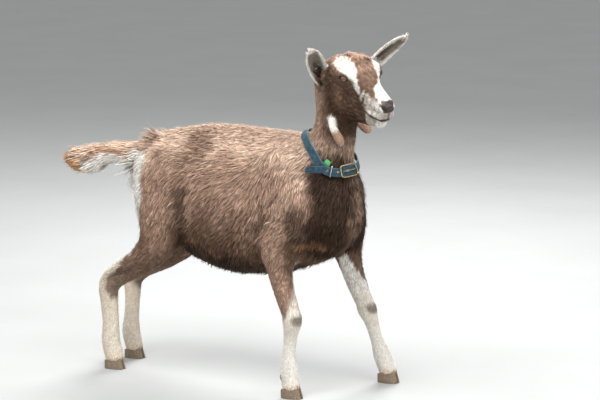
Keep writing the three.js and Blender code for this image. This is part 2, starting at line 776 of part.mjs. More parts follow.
const tag = () => {
  const low = -COLLAR.width / 2 - GAP - 0.5; // heights grow downward
  const high = low - TAG.height;
  const rings = [-1, 0, 1].map((t) =>
    [[high, INNER + 1], [low, INNER], [low, outer], [high, outer + 1]].map(
      ([w, n]) => collarPlace(TAG.angle + (t * TAG.width * degreesPerMm) / 2, w, n),
    ),
  );
  return loft(rings);
};
place("collar_strap", strap(), WEB);
place("collar_free_end", freeEnd(), WEB);
place("collar_buckle_frame", wire(buckleFrame, BUCKLE.wire, true, OFF_NECK), METAL);
place("collar_buckle_tongue", wire(buckleTongue, TONGUE_WIRE, false, OFF_NECK), METAL);
place("collar_keeper_ring", keeperLoop(), METAL);
EYELETS.angles.forEach((degrees, i) => place(`collar_eyelet_${i + 1}`, eyelet(degrees), METAL));
place("collar_tag", tag(), { color: 0x2fae62, roughness: 0.6 });

let neck = solid(net(goat, [120, -110, 380], [420, 110, 820], [21, 19, 26]));
neck = neck.intersect(region(neckCut)).intersect(region(flip(headCut), -GAP));
for (const [, path] of WATTLES) neck = neck.subtract(tube(path, WATTLE_SIDES, GAP));
place("neck", neck, FUR.brown);

export default group;
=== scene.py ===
# %% [markdown]
# # A young goat, life size
#
# This lesson dresses a plain solid model of a standing goat. The solids come from the frame. They
# give the true outline, out to the hair tips, and are never moved. Over them go one skin, a coat of
# mesh tufts, eyes, hooves and a collar. Everything is measured in millimetres in the goat's own
# plan, whose zero lies on the floor under the belly, and becomes metres in the frame only when a
# mesh is made.

import bpy
import numpy as np
from mathutils import Matrix


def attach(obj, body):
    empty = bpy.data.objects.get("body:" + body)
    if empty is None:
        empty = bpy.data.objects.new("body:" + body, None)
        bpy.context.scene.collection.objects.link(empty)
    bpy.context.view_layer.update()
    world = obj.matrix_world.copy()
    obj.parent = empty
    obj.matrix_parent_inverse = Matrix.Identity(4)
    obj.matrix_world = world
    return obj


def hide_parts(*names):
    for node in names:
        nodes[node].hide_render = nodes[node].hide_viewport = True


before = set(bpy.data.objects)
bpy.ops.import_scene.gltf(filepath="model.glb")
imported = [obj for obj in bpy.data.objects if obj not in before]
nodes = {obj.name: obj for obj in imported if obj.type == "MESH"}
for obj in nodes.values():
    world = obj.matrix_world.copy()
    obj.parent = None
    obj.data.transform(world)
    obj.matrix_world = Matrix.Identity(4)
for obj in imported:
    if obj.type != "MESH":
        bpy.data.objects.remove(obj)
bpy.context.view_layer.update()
print("frame:", len(nodes), "nodes")

ORIGIN = np.array([13.7, 38.4, 0.0])  # the frame's zero, in the plan
MM = 0.001  # metres


def metres(points):
    """Plan millimetres to frame metres: less the origin, times 0.001."""
    return (np.asarray(points, float) - ORIGIN) * MM


def unit(v):
    """Vectors over their own lengths, along the last axis."""
    v = np.asarray(v, float)
    return v / np.maximum(np.linalg.norm(v, axis=-1, keepdims=True), 1e-12)


def rise(low, high, x):
    """A smooth step, 0 below low and 1 above high: 3t^2 - 2t^3."""
    t = np.clip((x - low) / (high - low), 0.0, 1.0)
    return t * t * (3.0 - 2.0 * t)


# %% [markdown]
# ## Camera and studio
#
# A long lens far away keeps the proportions honest. The camera looks at the goat's right side from
# a little in front, ten degrees above level. One large soft lamp stands high in front on the left,
# a weaker one fills from the right and a third picks out the back's hair. The world's pale light
# does the rest. The plain "Standard" view shows the coat's colours as they are, without bending
# them as the default view does.

# %% Camera
VIEW = {"azimuth": 35.0, "elevation": 10.0, "distance": 6000.0}  # degrees, degrees, millimetres
LENS = {"lens": 152.0, "sensor_width": 36.0, "clip_end": 50.0}  # millimetres, millimetres, metres
AIM = np.array([0.0, 0.0, 400.0])
FRAMING = (141.2, 35.3)  # from the aim to the picture's middle: right, up


def look(azimuth, elevation):
    """Unit vectors out of the picture, to its right and up it. Azimuth 0 looks along +Y, 90 along -X."""
    a, e = np.radians([azimuth, elevation])
    back = np.array([np.sin(a) * np.cos(e), -np.cos(a) * np.cos(e), np.sin(e)])
    right = np.array([np.cos(a), np.sin(a), 0.0])
    return back, right, np.cross(back, right)


def placed(data, name, back, right, up, place):
    """Links data as an object whose own x, y and z lie along right, up and back."""
    thing = bpy.data.objects.new(name, data)
    rows = [[right[i], up[i], back[i], place[i]] for i in range(3)]
    thing.matrix_world = Matrix(rows + [[0.0, 0.0, 0.0, 1.0]])
    bpy.context.scene.collection.objects.link(thing)
    return thing


back, right, up = look(VIEW["azimuth"], VIEW["elevation"])
lens = bpy.data.cameras.new("camera")
for key, value in LENS.items():
    setattr(lens, key, value)
spot = metres(AIM + back * VIEW["distance"] + right * FRAMING[0] + up * FRAMING[1])
bpy.context.scene.view_settings.view_transform = "Standard"
bpy.context.scene.camera = placed(lens, "camera", back, right, up, spot)
print("camera at", spot.round(2))

# %% Lamps and world
LAMPS = {  # azimuth, elevation, distance in metres, size in metres, watts
    "key": (12.0, 62.0, 3.2, 1.8, 124.0),
    "fill": (80.0, 25.0, 3.6, 2.6, 72.0),
    "back": (200.0, 48.0, 3.0, 1.4, 112.0),
}
for name, (azimuth, elevation, distance, size, watts) in LAMPS.items():
    back, right, up = look(azimuth, elevation)
    lamp = bpy.data.lights.new(name, "AREA")
    lamp.energy = watts
    lamp.size = size
    placed(lamp, name, back, right, up, back * distance + AIM * MM)

SKY = {"Color": (0.93, 0.94, 0.95, 1.0), "Strength": 0.67}
world = bpy.data.worlds.new("studio")
world.use_nodes = True
for key, value in SKY.items():
    world.node_tree.nodes["Background"].inputs[key].default_value = value
bpy.context.scene.world = world
print("lamps:", list(LAMPS))

# %% [markdown]
# ## The plan of the body
#
# A goat's body is limbs and barrels that run into each other. Each is a path of elliptical
# sections: a place, then half its width (across) and half its depth. The head has its own axes,
# with x along the nose and z out of the crown, and is turned as one.

# %% Plan of the trunk, neck, tail and legs
TRUNK = [
    [-246, 0, 488, 50, 54], [-208, 0, 472, 78, 98], [-150, 0, 450, 88, 128], [-80, 0, 430, 106, 150],
    [0, 0, 424, 116, 161], [70, 0, 432, 112, 158], [140, 0, 450, 94, 146], [205, 0, 448, 78, 124],
    [269, 0, 446, 62, 98],
]
BACKBONE = [
    [-278, 0, 520, 24, 24], [-215, 0, 553, 26, 30], [-110, 0, 580, 27, 30], [-40, 0, 587, 28, 30],
    [30, 0, 588, 28, 30], [100, 0, 583, 26, 31], [160, 0, 579, 26, 32], [205, 0, 562, 28, 34],
]
BRISKET = [
    [287, 0, 494, 46, 46], [281, 0, 430, 48, 47], [268, 0, 394, 48, 42], [222, 0, 352, 50, 38],
    [120, 0, 330, 62, 42],
]
NECK = [
    [172, 0, 500, 56, 94], [232, -2, 540, 54, 74], [268, -6, 600, 45, 59], [281, -9, 660, 42, 53],
    [281, -11, 712, 41, 55], [277, -12, 748, 40, 52],
]
TAIL = [
    [-256, 0, 512, 27, 44], [-284, -8, 512, 25, 43], [-310, -19, 519, 21, 34], [-336, -31, 523, 20, 29],
    [-360, -42, 522, 20, 27], [-398, -60, 507, 21, 36], [-425, -73, 505, 19, 30], [-446, -85, 511, 10, 15],
]
FORELEG_RIGHT = [
    [120, -48, 540, 22, 46], [185, -62, 470, 34, 62], [205, -72, 410, 36, 58], [172, -80, 350, 36, 46],
    [173, -82, 305, 29, 34], [185, -81, 250, 23, 26], [201, -79, 205, 21, 24], [205, -78, 182, 21, 25],
    [200, -77, 150, 16, 18], [195, -76, 105, 15, 17], [194, -75, 64, 19, 23], [200, -75, 28, 20, 23],
]
FORELEG_LEFT = [
    [150, 48, 540, 22, 46], [224, 62, 470, 36, 60], [254, 70, 410, 36, 54], [248, 80, 350, 34, 44],
    [252, 92, 300, 28, 30], [260, 110, 245, 23, 25], [269, 128, 200, 21, 23], [273, 134, 180, 21, 25],
    [278, 146, 148, 16, 18], [284, 160, 105, 15, 17], [291, 172, 66, 19, 23], [301, 181, 30, 20, 23],
]
HINDLEG_RIGHT = [
    [-190, -50, 500, 46, 80], [-188, -66, 430, 50, 72], [-174, -80, 365, 44, 60], [-190, -87, 316, 35, 46],
    [-240, -88, 272, 27, 34], [-303, -86, 236, 22, 30], [-334, -85, 204, 21, 28], [-334, -84, 160, 18, 25],
    [-331, -84, 110, 17, 23], [-331, -84, 66, 20, 26], [-321, -84, 30, 21, 25],
]
HINDLEG_LEFT = [
    [-190, 50, 500, 46, 80], [-194, 62, 430, 50, 72], [-185, 70, 365, 44, 60], [-208, 68, 316, 35, 46],
    [-266, 58, 268, 27, 36], [-332, 46, 232, 22, 31], [-358, 40, 200, 20, 27], [-358, 36, 160, 17, 22],
    [-360, 34, 110, 16, 21], [-361, 32, 66, 20, 25], [-352, 32, 30, 21, 24],
]

# %% Plan of the head, ears and throat wattles
HEAD_POLL = np.array([292.0, -11.0, 801.0])  # the top of the neck between the ears
HEAD_TURN = {"yaw": -25.5, "pitch": 18.5, "roll": 9.0}  # degrees: to its right, nose down, left side up
SKULL = [
    [2, 0, -44, 36, 36], [32, 0, -26, 42, 37], [64, 0, -16, 44, 36], [95, 0, -14, 40, 35],
    [124, 0, -18, 31, 31], [150, 0, -25, 26, 27], [184, 0, -29, 23, 24], [208, 0, -32, 22, 22],
]
JAW = [
    [10, 0, -80, 30, 46], [50, 0, -86, 29, 45], [90, 0, -86, 25, 40], [125, 0, -82, 21, 33],
    [155, 0, -79, 19, 26], [178, 0, -80, 18, 17], [190, 0, -80, 15, 14],
]
UPPER_LIP = [
    [150, 0, -52, 24, 20], [184, 0, -54, 22, 17], [207, 0, -53, 20, 16],
]
CHEEK = [
    [8, 20, -72, 16, 42], [46, 24, -66, 17, 40], [86, 22, -56, 15, 30], [122, 14, -50, 13, 22],
]
BROW = [
    [66, 33, 6, 12, 11], [90, 36, 7, 11, 10], [108, 29, 2, 9, 9],
]
ORBIT = [
    [70, 30, -12, 15, 17], [94, 30, -10, 16, 19], [110, 25, -10, 13, 15],
]
FORELOCK = [
    [38, 0, 2, 18, 14], [66, 2, 14, 22, 15], [92, 4, 12, 18, 12],
]
EAR_ROOT = [
    [0, 24, -44, 20, 22], [0, 44, -44, 17, 19], [3, 56, -34, 15, 17],
]
WATTLE_RIGHT = [
    [56, -49, -122, 8, 8], [72, -56, -133, 9, 9], [84, -54, -146, 10, 10], [91, -50, -157, 11, 11],
    [95, -47, -166, 10, 10], [97, -46, -172, 4, 4],
]
WATTLE_LEFT = [
    [38, 14, -140, 8, 8], [46, 25, -155, 9, 9], [53, 36, -166, 11, 11], [58, 43, -173, 11, 11],
    [60, 47, -177, 5, 5],
]
EAR_OUTLINE = [
    [0, 15], [0.15, 20], [0.32, 24], [0.5, 25.5], [0.7, 23.5], [0.86, 18.5], [0.95, 12.5], [1, 5],
]
EAR_RIGHT = {"root": (-5, -44, -62), "tip": (10, -88, 40), "facing": (0.9, 0.05, -0.1)}
EAR_LEFT = {"root": (8, 46, -44), "tip": (55, 135, 50), "facing": (0.8, -0.1, -0.35)}
EARS = (EAR_RIGHT, EAR_LEFT)
EAR_LEAF = {"thickness": 6.0, "cup": 0.7, "bow": 8.0, "coat": 1.0}

# %% [markdown]
# ## Distances to a swept body
#
# A skin can be found as the places where a distance is zero. For a path of sections, a point's
# distance is taken from the nearest of its short straight spans: inside a section's ellipse it is
# negative, outside positive. Distances of neighbouring parts are blended, which fills the crease
# between them as flesh does.

# %% Paths and their distances
PER_SPAN = 5  # straight spans drawn between two stations
FAR = 60.0  # beyond this, the distance to a path's box will do
BLOCK = 6000  # points worked at once


def catmull_rom(a, b, c, d, t):
    """From b to c with t from 0 to 1: b + t/2 (c - a + t (2a - 5b + 4c - d + t (3b - 3c + d - a)))."""
    return b + 0.5 * t * (c - a + t * (2 * a - 5 * b + 4 * c - d + t * (3 * (b - c) + d - a)))


def smooth_path(stations):
    """A smooth curve through the stations, in their sizes as well as their places."""
    s = np.array(stations, float)
    i = np.arange(len(s) - 1)
    a, b, c, d = (s[np.clip(i + k, 0, len(s) - 1)][:, None] for k in (-1, 0, 1, 2))
    t = (np.arange(PER_SPAN) / PER_SPAN)[None, :, None]
    return np.vstack([catmull_rom(a, b, c, d, t).reshape(-1, s.shape[1]), s[-1:]])


def sweep(stations, mirror=1):
    """A path made ready: its spans' starts, own axes (across, deep, along), lengths, sizes and box."""
    path = smooth_path(stations) * [1, mirror, 1, 1, 1]
    a, b = path[:-1], path[1:]
    along = b[:, :3] - a[:, :3]
    t = unit(along)
    side = unit(np.array([0.0, 1.0, 0.0]) - t * t[:, 1:2])
    axes = np.stack([side, np.cross(t, side), t])
    size = np.maximum(path[:, 3], path[:, 4])[:, None]
    return {
        "axes": axes.astype(np.float32),
        "offsets": np.einsum("kij,ij->ki", axes, a[:, :3]).astype(np.float32),
        "length": np.linalg.norm(along, axis=1).astype(np.float32),
        "size": a[:, 3:].T.astype(np.float32),
        "growth": (b - a)[:, 3:].T.astype(np.float32),
        "low": (path[:, :3] - size).min(0),
        "high": (path[:, :3] + size).max(0),
    }


def spans(s, p):
    """Distance of each point to each span: |d| (1 - 1/r), where d reaches r ellipse sizes away."""
    u, v, w = (p @ axis.T - offset for axis, offset in zip(s["axes"], s["offsets"]))
    share = np.clip(w / s["length"], 0.0, 1.0)
    w = w - share * s["length"]
    wide, deep = (s["size"][k] + share * s["growth"][k] for k in (0, 1))
    end = np.minimum(wide, deep)
    r = np.sqrt((u / wide) ** 2 + (v / deep) ** 2 + (w / end) ** 2)
    d = np.sqrt(u * u + v * v + w * w)
    return np.where(r < 1e-4, -end, d * (1.0 - 1.0 / np.maximum(r, 1e-4)))


def to_box(s, p):
    """Distance to a path's box, nought inside it."""
    return np.linalg.norm(np.maximum(np.maximum(s["low"] - p, p - s["high"]), 0.0), axis=1)


def distance(s, p):
    """Least distance to a path's spans, worked in blocks of points, or to its box where that is far."""
    out = to_box(s, p)
    near = np.flatnonzero(out <= FAR)
    for block in np.array_split(near, len(near) // BLOCK + 1):
        if len(block):
            out[block] = spans(s, p[block].astype(np.float32)).min(1)
    return out


def blend(a, b, k):
    """The lesser of two distances, with a fillet: min(a, b) - k h^2 / 4, where h = 1 - |a - b| / k."""
    h = np.maximum(k - np.abs(a - b), 0.0) / k
    return np.minimum(a, b) - h * h * k / 4.0


def carve(a, b, k):
    """The greater of two distances, with a fillet: a with everything inside -b taken away."""
    return -blend(-a, -b, k)


def blended(parts, p):
    """Several paths as one distance, each blended into those before it with its own fillet."""
    total = distance(parts[0][0], p)
    for s, k in parts[1:]:
        total = blend(total, distance(s, p), k)
    return total


# %% The whole goat as one distance
LEGS = {
    "foreleg_right": FORELEG_RIGHT,
    "foreleg_left": FORELEG_LEFT,
    "hindleg_right": HINDLEG_RIGHT,
    "hindleg_left": HINDLEG_LEFT,
}
BARREL = [(sweep(TRUNK), 0), (sweep(BACKBONE), 40), (sweep(BRISKET), 50)]
NECK_PATH, TAIL_PATH = sweep(NECK), sweep(TAIL)
LIMBS = {name: sweep(path) for name, path in LEGS.items()}
HEAD = [(sweep(SKULL), 0), (sweep(JAW), 22), (sweep(UPPER_LIP), 12)]
for stations, fillet in ((CHEEK, 20), (BROW, 12), (ORBIT, 14), (EAR_ROOT, 12)):
    HEAD += [(sweep(stations, mirror), fillet) for mirror in (1, -1)]
HEAD.append((sweep(FORELOCK), 14))
WATTLES = [sweep(WATTLE_RIGHT), sweep(WATTLE_LEFT)]
FILLETS = {"neck": 42.0, "tail": 24.0, "leg": 34.0, "head": 30.0, "ear": 9.0, "canal": 5.0}
BARE = 1.2  # how deep the skin lies under the solid on the bare head and the wattles, in millimetres

yaw, pitch, roll = np.radians([HEAD_TURN["yaw"], HEAD_TURN["pitch"], HEAD_TURN["roll"]])
turn_z = np.array([[np.cos(yaw), -np.sin(yaw), 0], [np.sin(yaw), np.cos(yaw), 0], [0, 0, 1]])
turn_y = np.array([[np.cos(pitch), 0, np.sin(pitch)], [0, 1, 0], [-np.sin(pitch), 0, np.cos(pitch)]])
turn_x = np.array([[1, 0, 0], [0, np.cos(roll), -np.sin(roll)], [0, np.sin(roll), np.cos(roll)]])
HEAD_AXES = turn_z @ turn_y @ turn_x


def into_head(p):
    """Plan to the head's axes: less the poll, then turned back."""
    return (np.asarray(p, float) - HEAD_POLL) @ HEAD_AXES


def out_of_head(q):
    """The head's axes to the plan: turned, then moved to the poll."""
    return np.asarray(q, float) @ HEAD_AXES.T + HEAD_POLL


def ear_distance(shape, q):
    """Distance to a cupped leaf: to its middle sheet, h = cup w v^2 - bend, less half its thickness.

    Also the share of its length, the place across it from -1 to 1, and how far off the sheet."""
    root, tip = np.array(shape["root"], float), np.array(shape["tip"], float)
    length = np.linalg.norm(tip - root)
    t = (tip - root) / length
    face = unit(np.array(shape["facing"]) - t * np.dot(shape["facing"], t))
    side = np.cross(face, t)
    d = q - root
    share = np.clip(d @ t / length, 0.0, 1.0)
    stations = np.array(EAR_OUTLINE, float)
    half = np.interp(share, stations[:, 0], stations[:, 1])
    cup = EAR_LEAF["cup"] * (1.1 - share)
    across = d @ side
    v = np.clip(across / (half * (1.0 - 0.2 * cup)), -1.0, 1.0)
    sheet = half * cup * v * v - EAR_LEAF["bow"] * (np.sin(np.pi * share) - 1.0)
    thick = np.minimum(EAR_LEAF["thickness"], half) / 2.0 - EAR_LEAF["coat"]
    edge = np.maximum(np.abs(across) - (half * (1.0 - 0.2 * cup) - thick), 0.0)
    off = (d @ face - sheet) / np.sqrt(1.0 + (2.0 * cup * v) ** 2)
    past = d @ t - share * length
    return np.sqrt(edge**2 + off**2 + past**2) - thick, share, v, off


def parts_of(p):
    """Each group's own distance, so that coat, colour and hair can follow the part they lie on."""
    q = into_head(p)
    d = {"barrel": blended(BARREL, p), "neck": distance(NECK_PATH, p), "tail": distance(TAIL_PATH, p)}
    d |= {name: distance(path, p) for name, path in LIMBS.items()}
    d["head"] = blended(HEAD, q)
    return d, q


def joined(d):
    """The groups blended in the order of the solids: barrel, neck, tail, legs, then the head."""
    body = blend(blend(d["barrel"], d["neck"], FILLETS["neck"]), d["tail"], FILLETS["tail"])
    for name in LIMBS:
        body = blend(body, d[name], FILLETS["leg"])
    return blend(body, d["head"], FILLETS["head"])


def solid_distance(p):
    """Distance to the joined solids, out to the hair tips."""
    return joined(parts_of(p)[0])


# %% [markdown]
# ## How deep the coat is
#
# The solids reach the hair tips, so the skin lies deeper: about 8 mm on the barrel and tail, 5 on
# the neck, 2 on the lower legs and 1 on the muzzle and ears.

# %% Coat depth
def leg_share(d):
    """0 on the barrel and 1 on a leg: how much nearer the nearest leg is than the barrel, over 24 mm."""
    legs = np.min([d[name] for name in LEGS], axis=0)
    return rise(-6.0, 18.0, np.minimum(d["barrel"], d["neck"]) - legs)


def head_share(d):
    """0 on the neck and 1 on the head."""
    return rise(-8.0, 14.0, np.minimum(d["neck"], d["barrel"]) - d["head"])


def tail_share(d):
    """0 on the barrel and 1 on the tail."""
    return rise(-4.0, 10.0, d["barrel"] - d["tail"])


def coat_depth(p, q, d):
    """Millimetres from the hair tips to the skin, blended from part to part."""
    barrel = 8.5 - 3.0 * rise(560.0, 680.0, p[:, 2])
    leg = 2.0 + 4.5 * rise(200.0, 390.0, p[:, 2])
    head = 3.2 - 2.0 * rise(20.0, 150.0, q[:, 0])
    depth = barrel + (leg - barrel) * leg_share(d)
    depth += (7.5 - depth) * tail_share(d)
    return depth + (head - depth) * head_share(d)


# %% [markdown]
# ## Details of the head
#
# The blended paths give the skull's masses. The folds come from small changes to the same distance:
# lids are thin shells round the eyeball with an almond opening, and the mouth, the nostrils and the
# groove of the upper lip are soft furrows that follow a few points drawn onto the surface.

# %% Eyes, lids and furrows
EYE = {"place": (95.0, 38.5, -4.0), "radius": 13.0, "gaze": (0.54, 0.81, 0.2), "long": (0.86, -0.5, 0.06)}
OPENING = {"half": 12.4, "upper": 6.3, "lower": 5.6, "drop": -0.2}
LID = {"clear": 0.3, "thick": 3.1, "reach": 26.0, "fillet": 5.0}
LID_FOLD = {"out": 4.6, "width": 1.4, "depth": 1.0}
SHUT = 9.0  # the gap's value behind the eye


def both(side, vector):
    """A vector of the head's left half, or mirrored for the right."""
    return np.array(vector, float) * [1.0, side, 1.0]


def eye_axes(side):
    """Gaze, long axis towards the nose, and upward axis, square to each other."""
    gaze = unit(both(side, EYE["gaze"]))
    long = both(side, EYE["long"])
    long = unit(long - gaze * np.dot(long, gaze))
    high = np.cross(gaze, long) * -side
    return gaze, long, high


def opening(side, q):
    """How far outside the lids' almond, |z - middle| - h (1 - (x / half)^2), and how far from the eye."""
    gaze, long, high = eye_axes(side)
    d = q - both(side, EYE["place"])
    x, z, out = d @ long, d @ high, d @ gaze
    x = x / OPENING["half"]
    bow = np.maximum(1.0 - x * x, -1.0)
    edge = np.where(z > OPENING["drop"], OPENING["upper"], OPENING["lower"])
    gap = np.abs(z - OPENING["drop"]) - edge * bow
    return np.where(out > 0.0, gap, SHUT), np.linalg.norm(d, axis=1)


def with_eyes(f, q):
    """Adds the lids' shells to the head, then clears the eyeballs' sockets out of it."""
    for side in (1, -1):
        near = np.flatnonzero(np.linalg.norm(q - both(side, EYE["place"]), axis=1) < LID["reach"])
        if not len(near):
            continue
        gap, r = opening(side, q[near])
        middle = EYE["radius"] + LID["clear"] + LID["thick"] / 2.0
        shell = np.abs(r - middle) - LID["thick"] / 2.0
        g = blend(f[near], shell, LID["fillet"])
        g += LID_FOLD["depth"] * np.exp(-(((gap - LID_FOLD["out"]) / LID_FOLD["width"]) ** 2))
        window = np.maximum(r - (EYE["radius"] + 9.0), gap)
        g = carve(g, -window, 1.5)
        f[near] = carve(g, EYE["radius"] + 0.2 - r, 0.4)
    return f


FURROWS = {  # points in the head's axes, left half; width; depth at the middle
    "mouth": (
        [(157, 19, -66), (173, 18, -67), (190, 17, -64), (205, 15, -61), (216, 10, -59), (222, 0, -59)],
        2.3, 4.6,
    ),
    "mouth corner": ([(154, 20, -65), (162, 19, -67)], 3.0, 1.8),
    "nostril": ([(214, 16, -22), (219, 15, -26), (224, 12, -30), (228, 6, -33)], 2.6, 5.0),
    "nostril wing": ([(207, 19, -25), (210, 20, -33), (217, 17, -39)], 2.6, 1.0),
    "lip groove": ([(230, 0, -32), (228, 0, -42), (225, 0, -56)], 1.8, 2.6),
    "tear": ([(103, 40, 0), (112, 35, -2), (124, 30, -7)], 1.7, 1.0),
    "cheek fold": ([(128, 24, -60), (146, 23, -56), (160, 21, -58)], 5.0, 1.2),
}
SWELLS = {
    "nostril rim": ([(213, 17, -16), (220, 14, -19), (226, 8, -23)], 3.4, 1.8),
    "upper lip": ([(172, 20, -58), (200, 18, -53), (216, 11, -51)], 5.0, 1.6),
    "lower lip": ([(170, 18, -74), (198, 15, -70), (210, 7, -68)], 4.5, 1.6),
    "cheek muscle": ([(70, 36, -92), (95, 32, -84), (112, 27, -76)], 15.0, 2.2),
    "face crest": ([(98, 34, -28), (125, 27, -36), (146, 23, -42)], 5.5, 1.4),
}
MOST = 4.0  # the longest single step, in millimetres
NUDGE = 0.4  # how far the slope looks aside, in millimetres


def to_polyline(points, q):
    """Least distance to a chain of straight spans, less its half width where a fourth number gives one."""
    best = np.full(len(q), 1e3)
    for a, b in zip(points[:-1], points[1:]):
        along = b[:3] - a[:3]
        share = np.clip((q - a[:3]) @ along / (along @ along), 0.0, 1.0)
        away = np.linalg.norm(q - a[:3] - share[:, None] * along, axis=1)
        if len(a) > 3:
            away -= a[3] + share * (b[3] - a[3])
        best = np.minimum(best, away)
    return best


def settled(q, field, turns=6, within=1e3):
    """Points drawn onto a surface by Newton's steps along its slope, each step at most MOST long."""
    q = np.array(q, float)
    for _ in range(turns):
        f = field(q)
        f = np.where(np.abs(f) > within, 0.0, np.clip(f, -MOST, MOST))
        steps = [np.clip(field(q + step), -MOST, MOST) - f for step in NUDGE * np.eye(3)]
        slope = np.stack(steps, axis=1) / NUDGE
        q -= (f / np.maximum((slope * slope).sum(1), 0.5))[:, None] * slope
    return q


CANAL = {"from": (9.0, 15.0), "to": (44.0, 7.0), "radius": 8.5}  # along the ear and out of its hollow


def canal(shape, q):
    """The hollow in the root of the ear's cup: a capsule, distance to a straight span less its radius."""
    root, tip = np.array(shape["root"], float), np.array(shape["tip"], float)
    t = unit(tip - root)
    face = unit(np.array(shape["facing"]) - t * np.dot(shape["facing"], t))
    ends = [root + t * along + face * out for along, out in (CANAL["from"], CANAL["to"])]
    return to_polyline(ends, q) - CANAL["radius"]


def drawn(points, side):
    """Points of the head's left half, or mirrored for the right, drawn onto the bare head."""
    return settled([both(side, point) for point in points], lambda q: blended(HEAD, q) + BARE)


TRACES = []
for table, sign in ((FURROWS, 1.0), (SWELLS, -1.0)):
    for points, width, height in table.values():
        TRACES += [(drawn(points, side), width, sign * height) for side in (1, -1)]


def with_traces(f, q):
    """Each furrow or swelling adds height e^-(distance / width)^2 to the distance."""
    near = np.flatnonzero((q[:, 0] > 40.0) & (np.abs(f) < 12.0))
    if len(near):
        change = np.zeros(len(near))
        for line, width, height in TRACES:
            change += height * np.exp(-((to_polyline(line, q[near]) / width) ** 2))
        f[near] += change
    return f


HEAD_NEAR = 140.0  # beyond this from the head, its details are left out


def skin(p):
    """The skin's distance: the joined solids less the coat, with ears, wattles, lids and furrows."""
    d, q = parts_of(p)
    f = joined(d) + coat_depth(p, q, d)
    close = np.flatnonzero(d["head"] < HEAD_NEAR)
    if len(close):
        g, at = f[close], q[close]
        for shape in EARS:
            g = blend(g, ear_distance(shape, at)[0], FILLETS["ear"])
            g = carve(g, -canal(shape, at), FILLETS["canal"])
        for wattle in WATTLES:
            g = blend(g, distance(wattle, at) + BARE, FILLETS["ear"])
        f[close] = with_eyes(with_traces(g, at), at)
    return f


# %% [markdown]
# ## Meshing the skin
#
# The distance is sampled on a box of cells, fine round the head and coarser behind it. Each cell
# that the surface crosses gets one vertex, at the mean of its edges' crossings, and each crossed
# edge a square face between its four cells. The vertices are then drawn exactly onto the surface.
# Only cells near it are worked out, from a first coarse look.

# %% Skin mesh
COARSE = 15.0  # the first look's cells
AWAY = 9.0  # the size of the far value
AT_ONCE = 200000  # grid points worked at once
FINE_STEP, PLAIN_STEP = 1.5, 3.6
REACH = {"low": (-470.0, -135.0, 14.0), "high": (486.0, 212.0, 862.0)}
HEAD_BOX = {"low": (205.0, -126.0, 640.0), "high": (486.0, 96.0, 862.0)}


def uneven_axis(axis):
    """Grid lines along one axis: fine inside the head's stretch, coarser outside it."""
    low, high = REACH["low"][axis], REACH["high"][axis]
    a, b = max(HEAD_BOX["low"][axis], low), min(HEAD_BOX["high"][axis], high)
    pieces = [np.arange(low, a, PLAIN_STEP), np.arange(a, b, FINE_STEP), np.arange(b, high, PLAIN_STEP)]
    return np.concatenate([piece for piece in pieces if len(piece)])


def grid_points(lines):
    """Every crossing of the grid lines."""
    return np.stack(np.meshgrid(*lines, indexing="ij"), axis=-1)


def sampled(lines):
    """Distances on the grid: real near the surface, and a far value of the right sign elsewhere."""
    rough_lines = [np.arange(REACH["low"][k], REACH["high"][k] + COARSE, COARSE) for k in range(3)]
    rough = skin(grid_points(rough_lines).reshape(-1, 3)).reshape([len(line) for line in rough_lines])
    near = np.abs(rough) < COARSE * 1.1
    cell = [np.rint((lines[k] - REACH["low"][k]) / COARSE).astype(int) for k in range(3)]
    at = np.ix_(*(np.clip(cell[k], 0, near.shape[k] - 1) for k in range(3)))
    mask = near[at]
    values = np.where(rough[at] < 0.0, -AWAY, AWAY).astype(np.float32)
    index = np.nonzero(mask)
    points = np.stack([lines[k][index[k]] for k in range(3)], axis=1)
    for block in np.array_split(np.arange(len(points)), len(points) // AT_ONCE + 1):
        values[tuple(i[block] for i in index)] = skin(points[block])
    values[:, :, 0] = np.abs(values[:, :, 0])  # the legs end in flat faces, hidden by the hooves
    return values, len(points)


def surface_net(lines, values):
    """One vertex in each crossed cell and one square across each crossed edge."""
    inside = values < 0.0
    shape = np.array(values.shape)
    step = np.array([shape[1] * shape[2], shape[2], 1])
    cells, crossings, squares = [], [], []
    for axis in range(3):
        low = [slice(0, n - 1) if k == axis else slice(1, n - 1) for k, n in enumerate(shape)]
        high = [slice(1, n) if k == axis else slice(1, n - 1) for k, n in enumerate(shape)]
        at = np.stack(np.nonzero(inside[tuple(low)] != inside[tuple(high)]), axis=1)
        at += [0 if k == axis else 1 for k in range(3)]
        end = at.copy()
        end[:, axis] += 1
        a, b = values[tuple(at.T)], values[tuple(end.T)]
        place = np.stack([lines[k][at[:, k]] for k in range(3)], axis=1)
        place[:, axis] += (lines[axis][end[:, axis]] - lines[axis][at[:, axis]]) * (a / (a - b))
        here = at @ step
        u, w = step[(axis + 1) % 3], step[(axis + 2) % 3]
        ring = np.stack([here, here - u, here - u - w, here - w], axis=1)
        ring[a > 0.0] = ring[a > 0.0][:, ::-1]
        squares.append(ring)
        cells.append(ring.reshape(-1))
        crossings.append(np.repeat(place, 4, axis=0))
    _, index = np.unique(np.concatenate(cells), return_inverse=True)
    places = np.concatenate(crossings)
    count = np.bincount(index)
    points = np.stack([np.bincount(index, places[:, k]) / count for k in range(3)], axis=1)
    return points, index.reshape(-1, 4)


lines = [uneven_axis(axis) for axis in range(3)]
values, cells_worked = sampled(lines)
net_points, net_faces = surface_net(lines, values)
net_points = settled(net_points, skin, 2, within=2.5)
print("skin net:", cells_worked, "cells worked,", len(net_points), "vertices,", len(net_faces), "squares")

# %% [markdown]
# ## Making meshes from arrays
#
# Blender takes whole arrays at once with `foreach_set`, which is far quicker than adding vertices
# one by one. The net is finer than the plain parts of the body need, so Decimate thins it where it
# is flattest.

# %% Mesh helpers
SKIN_TRIANGLES = 188000


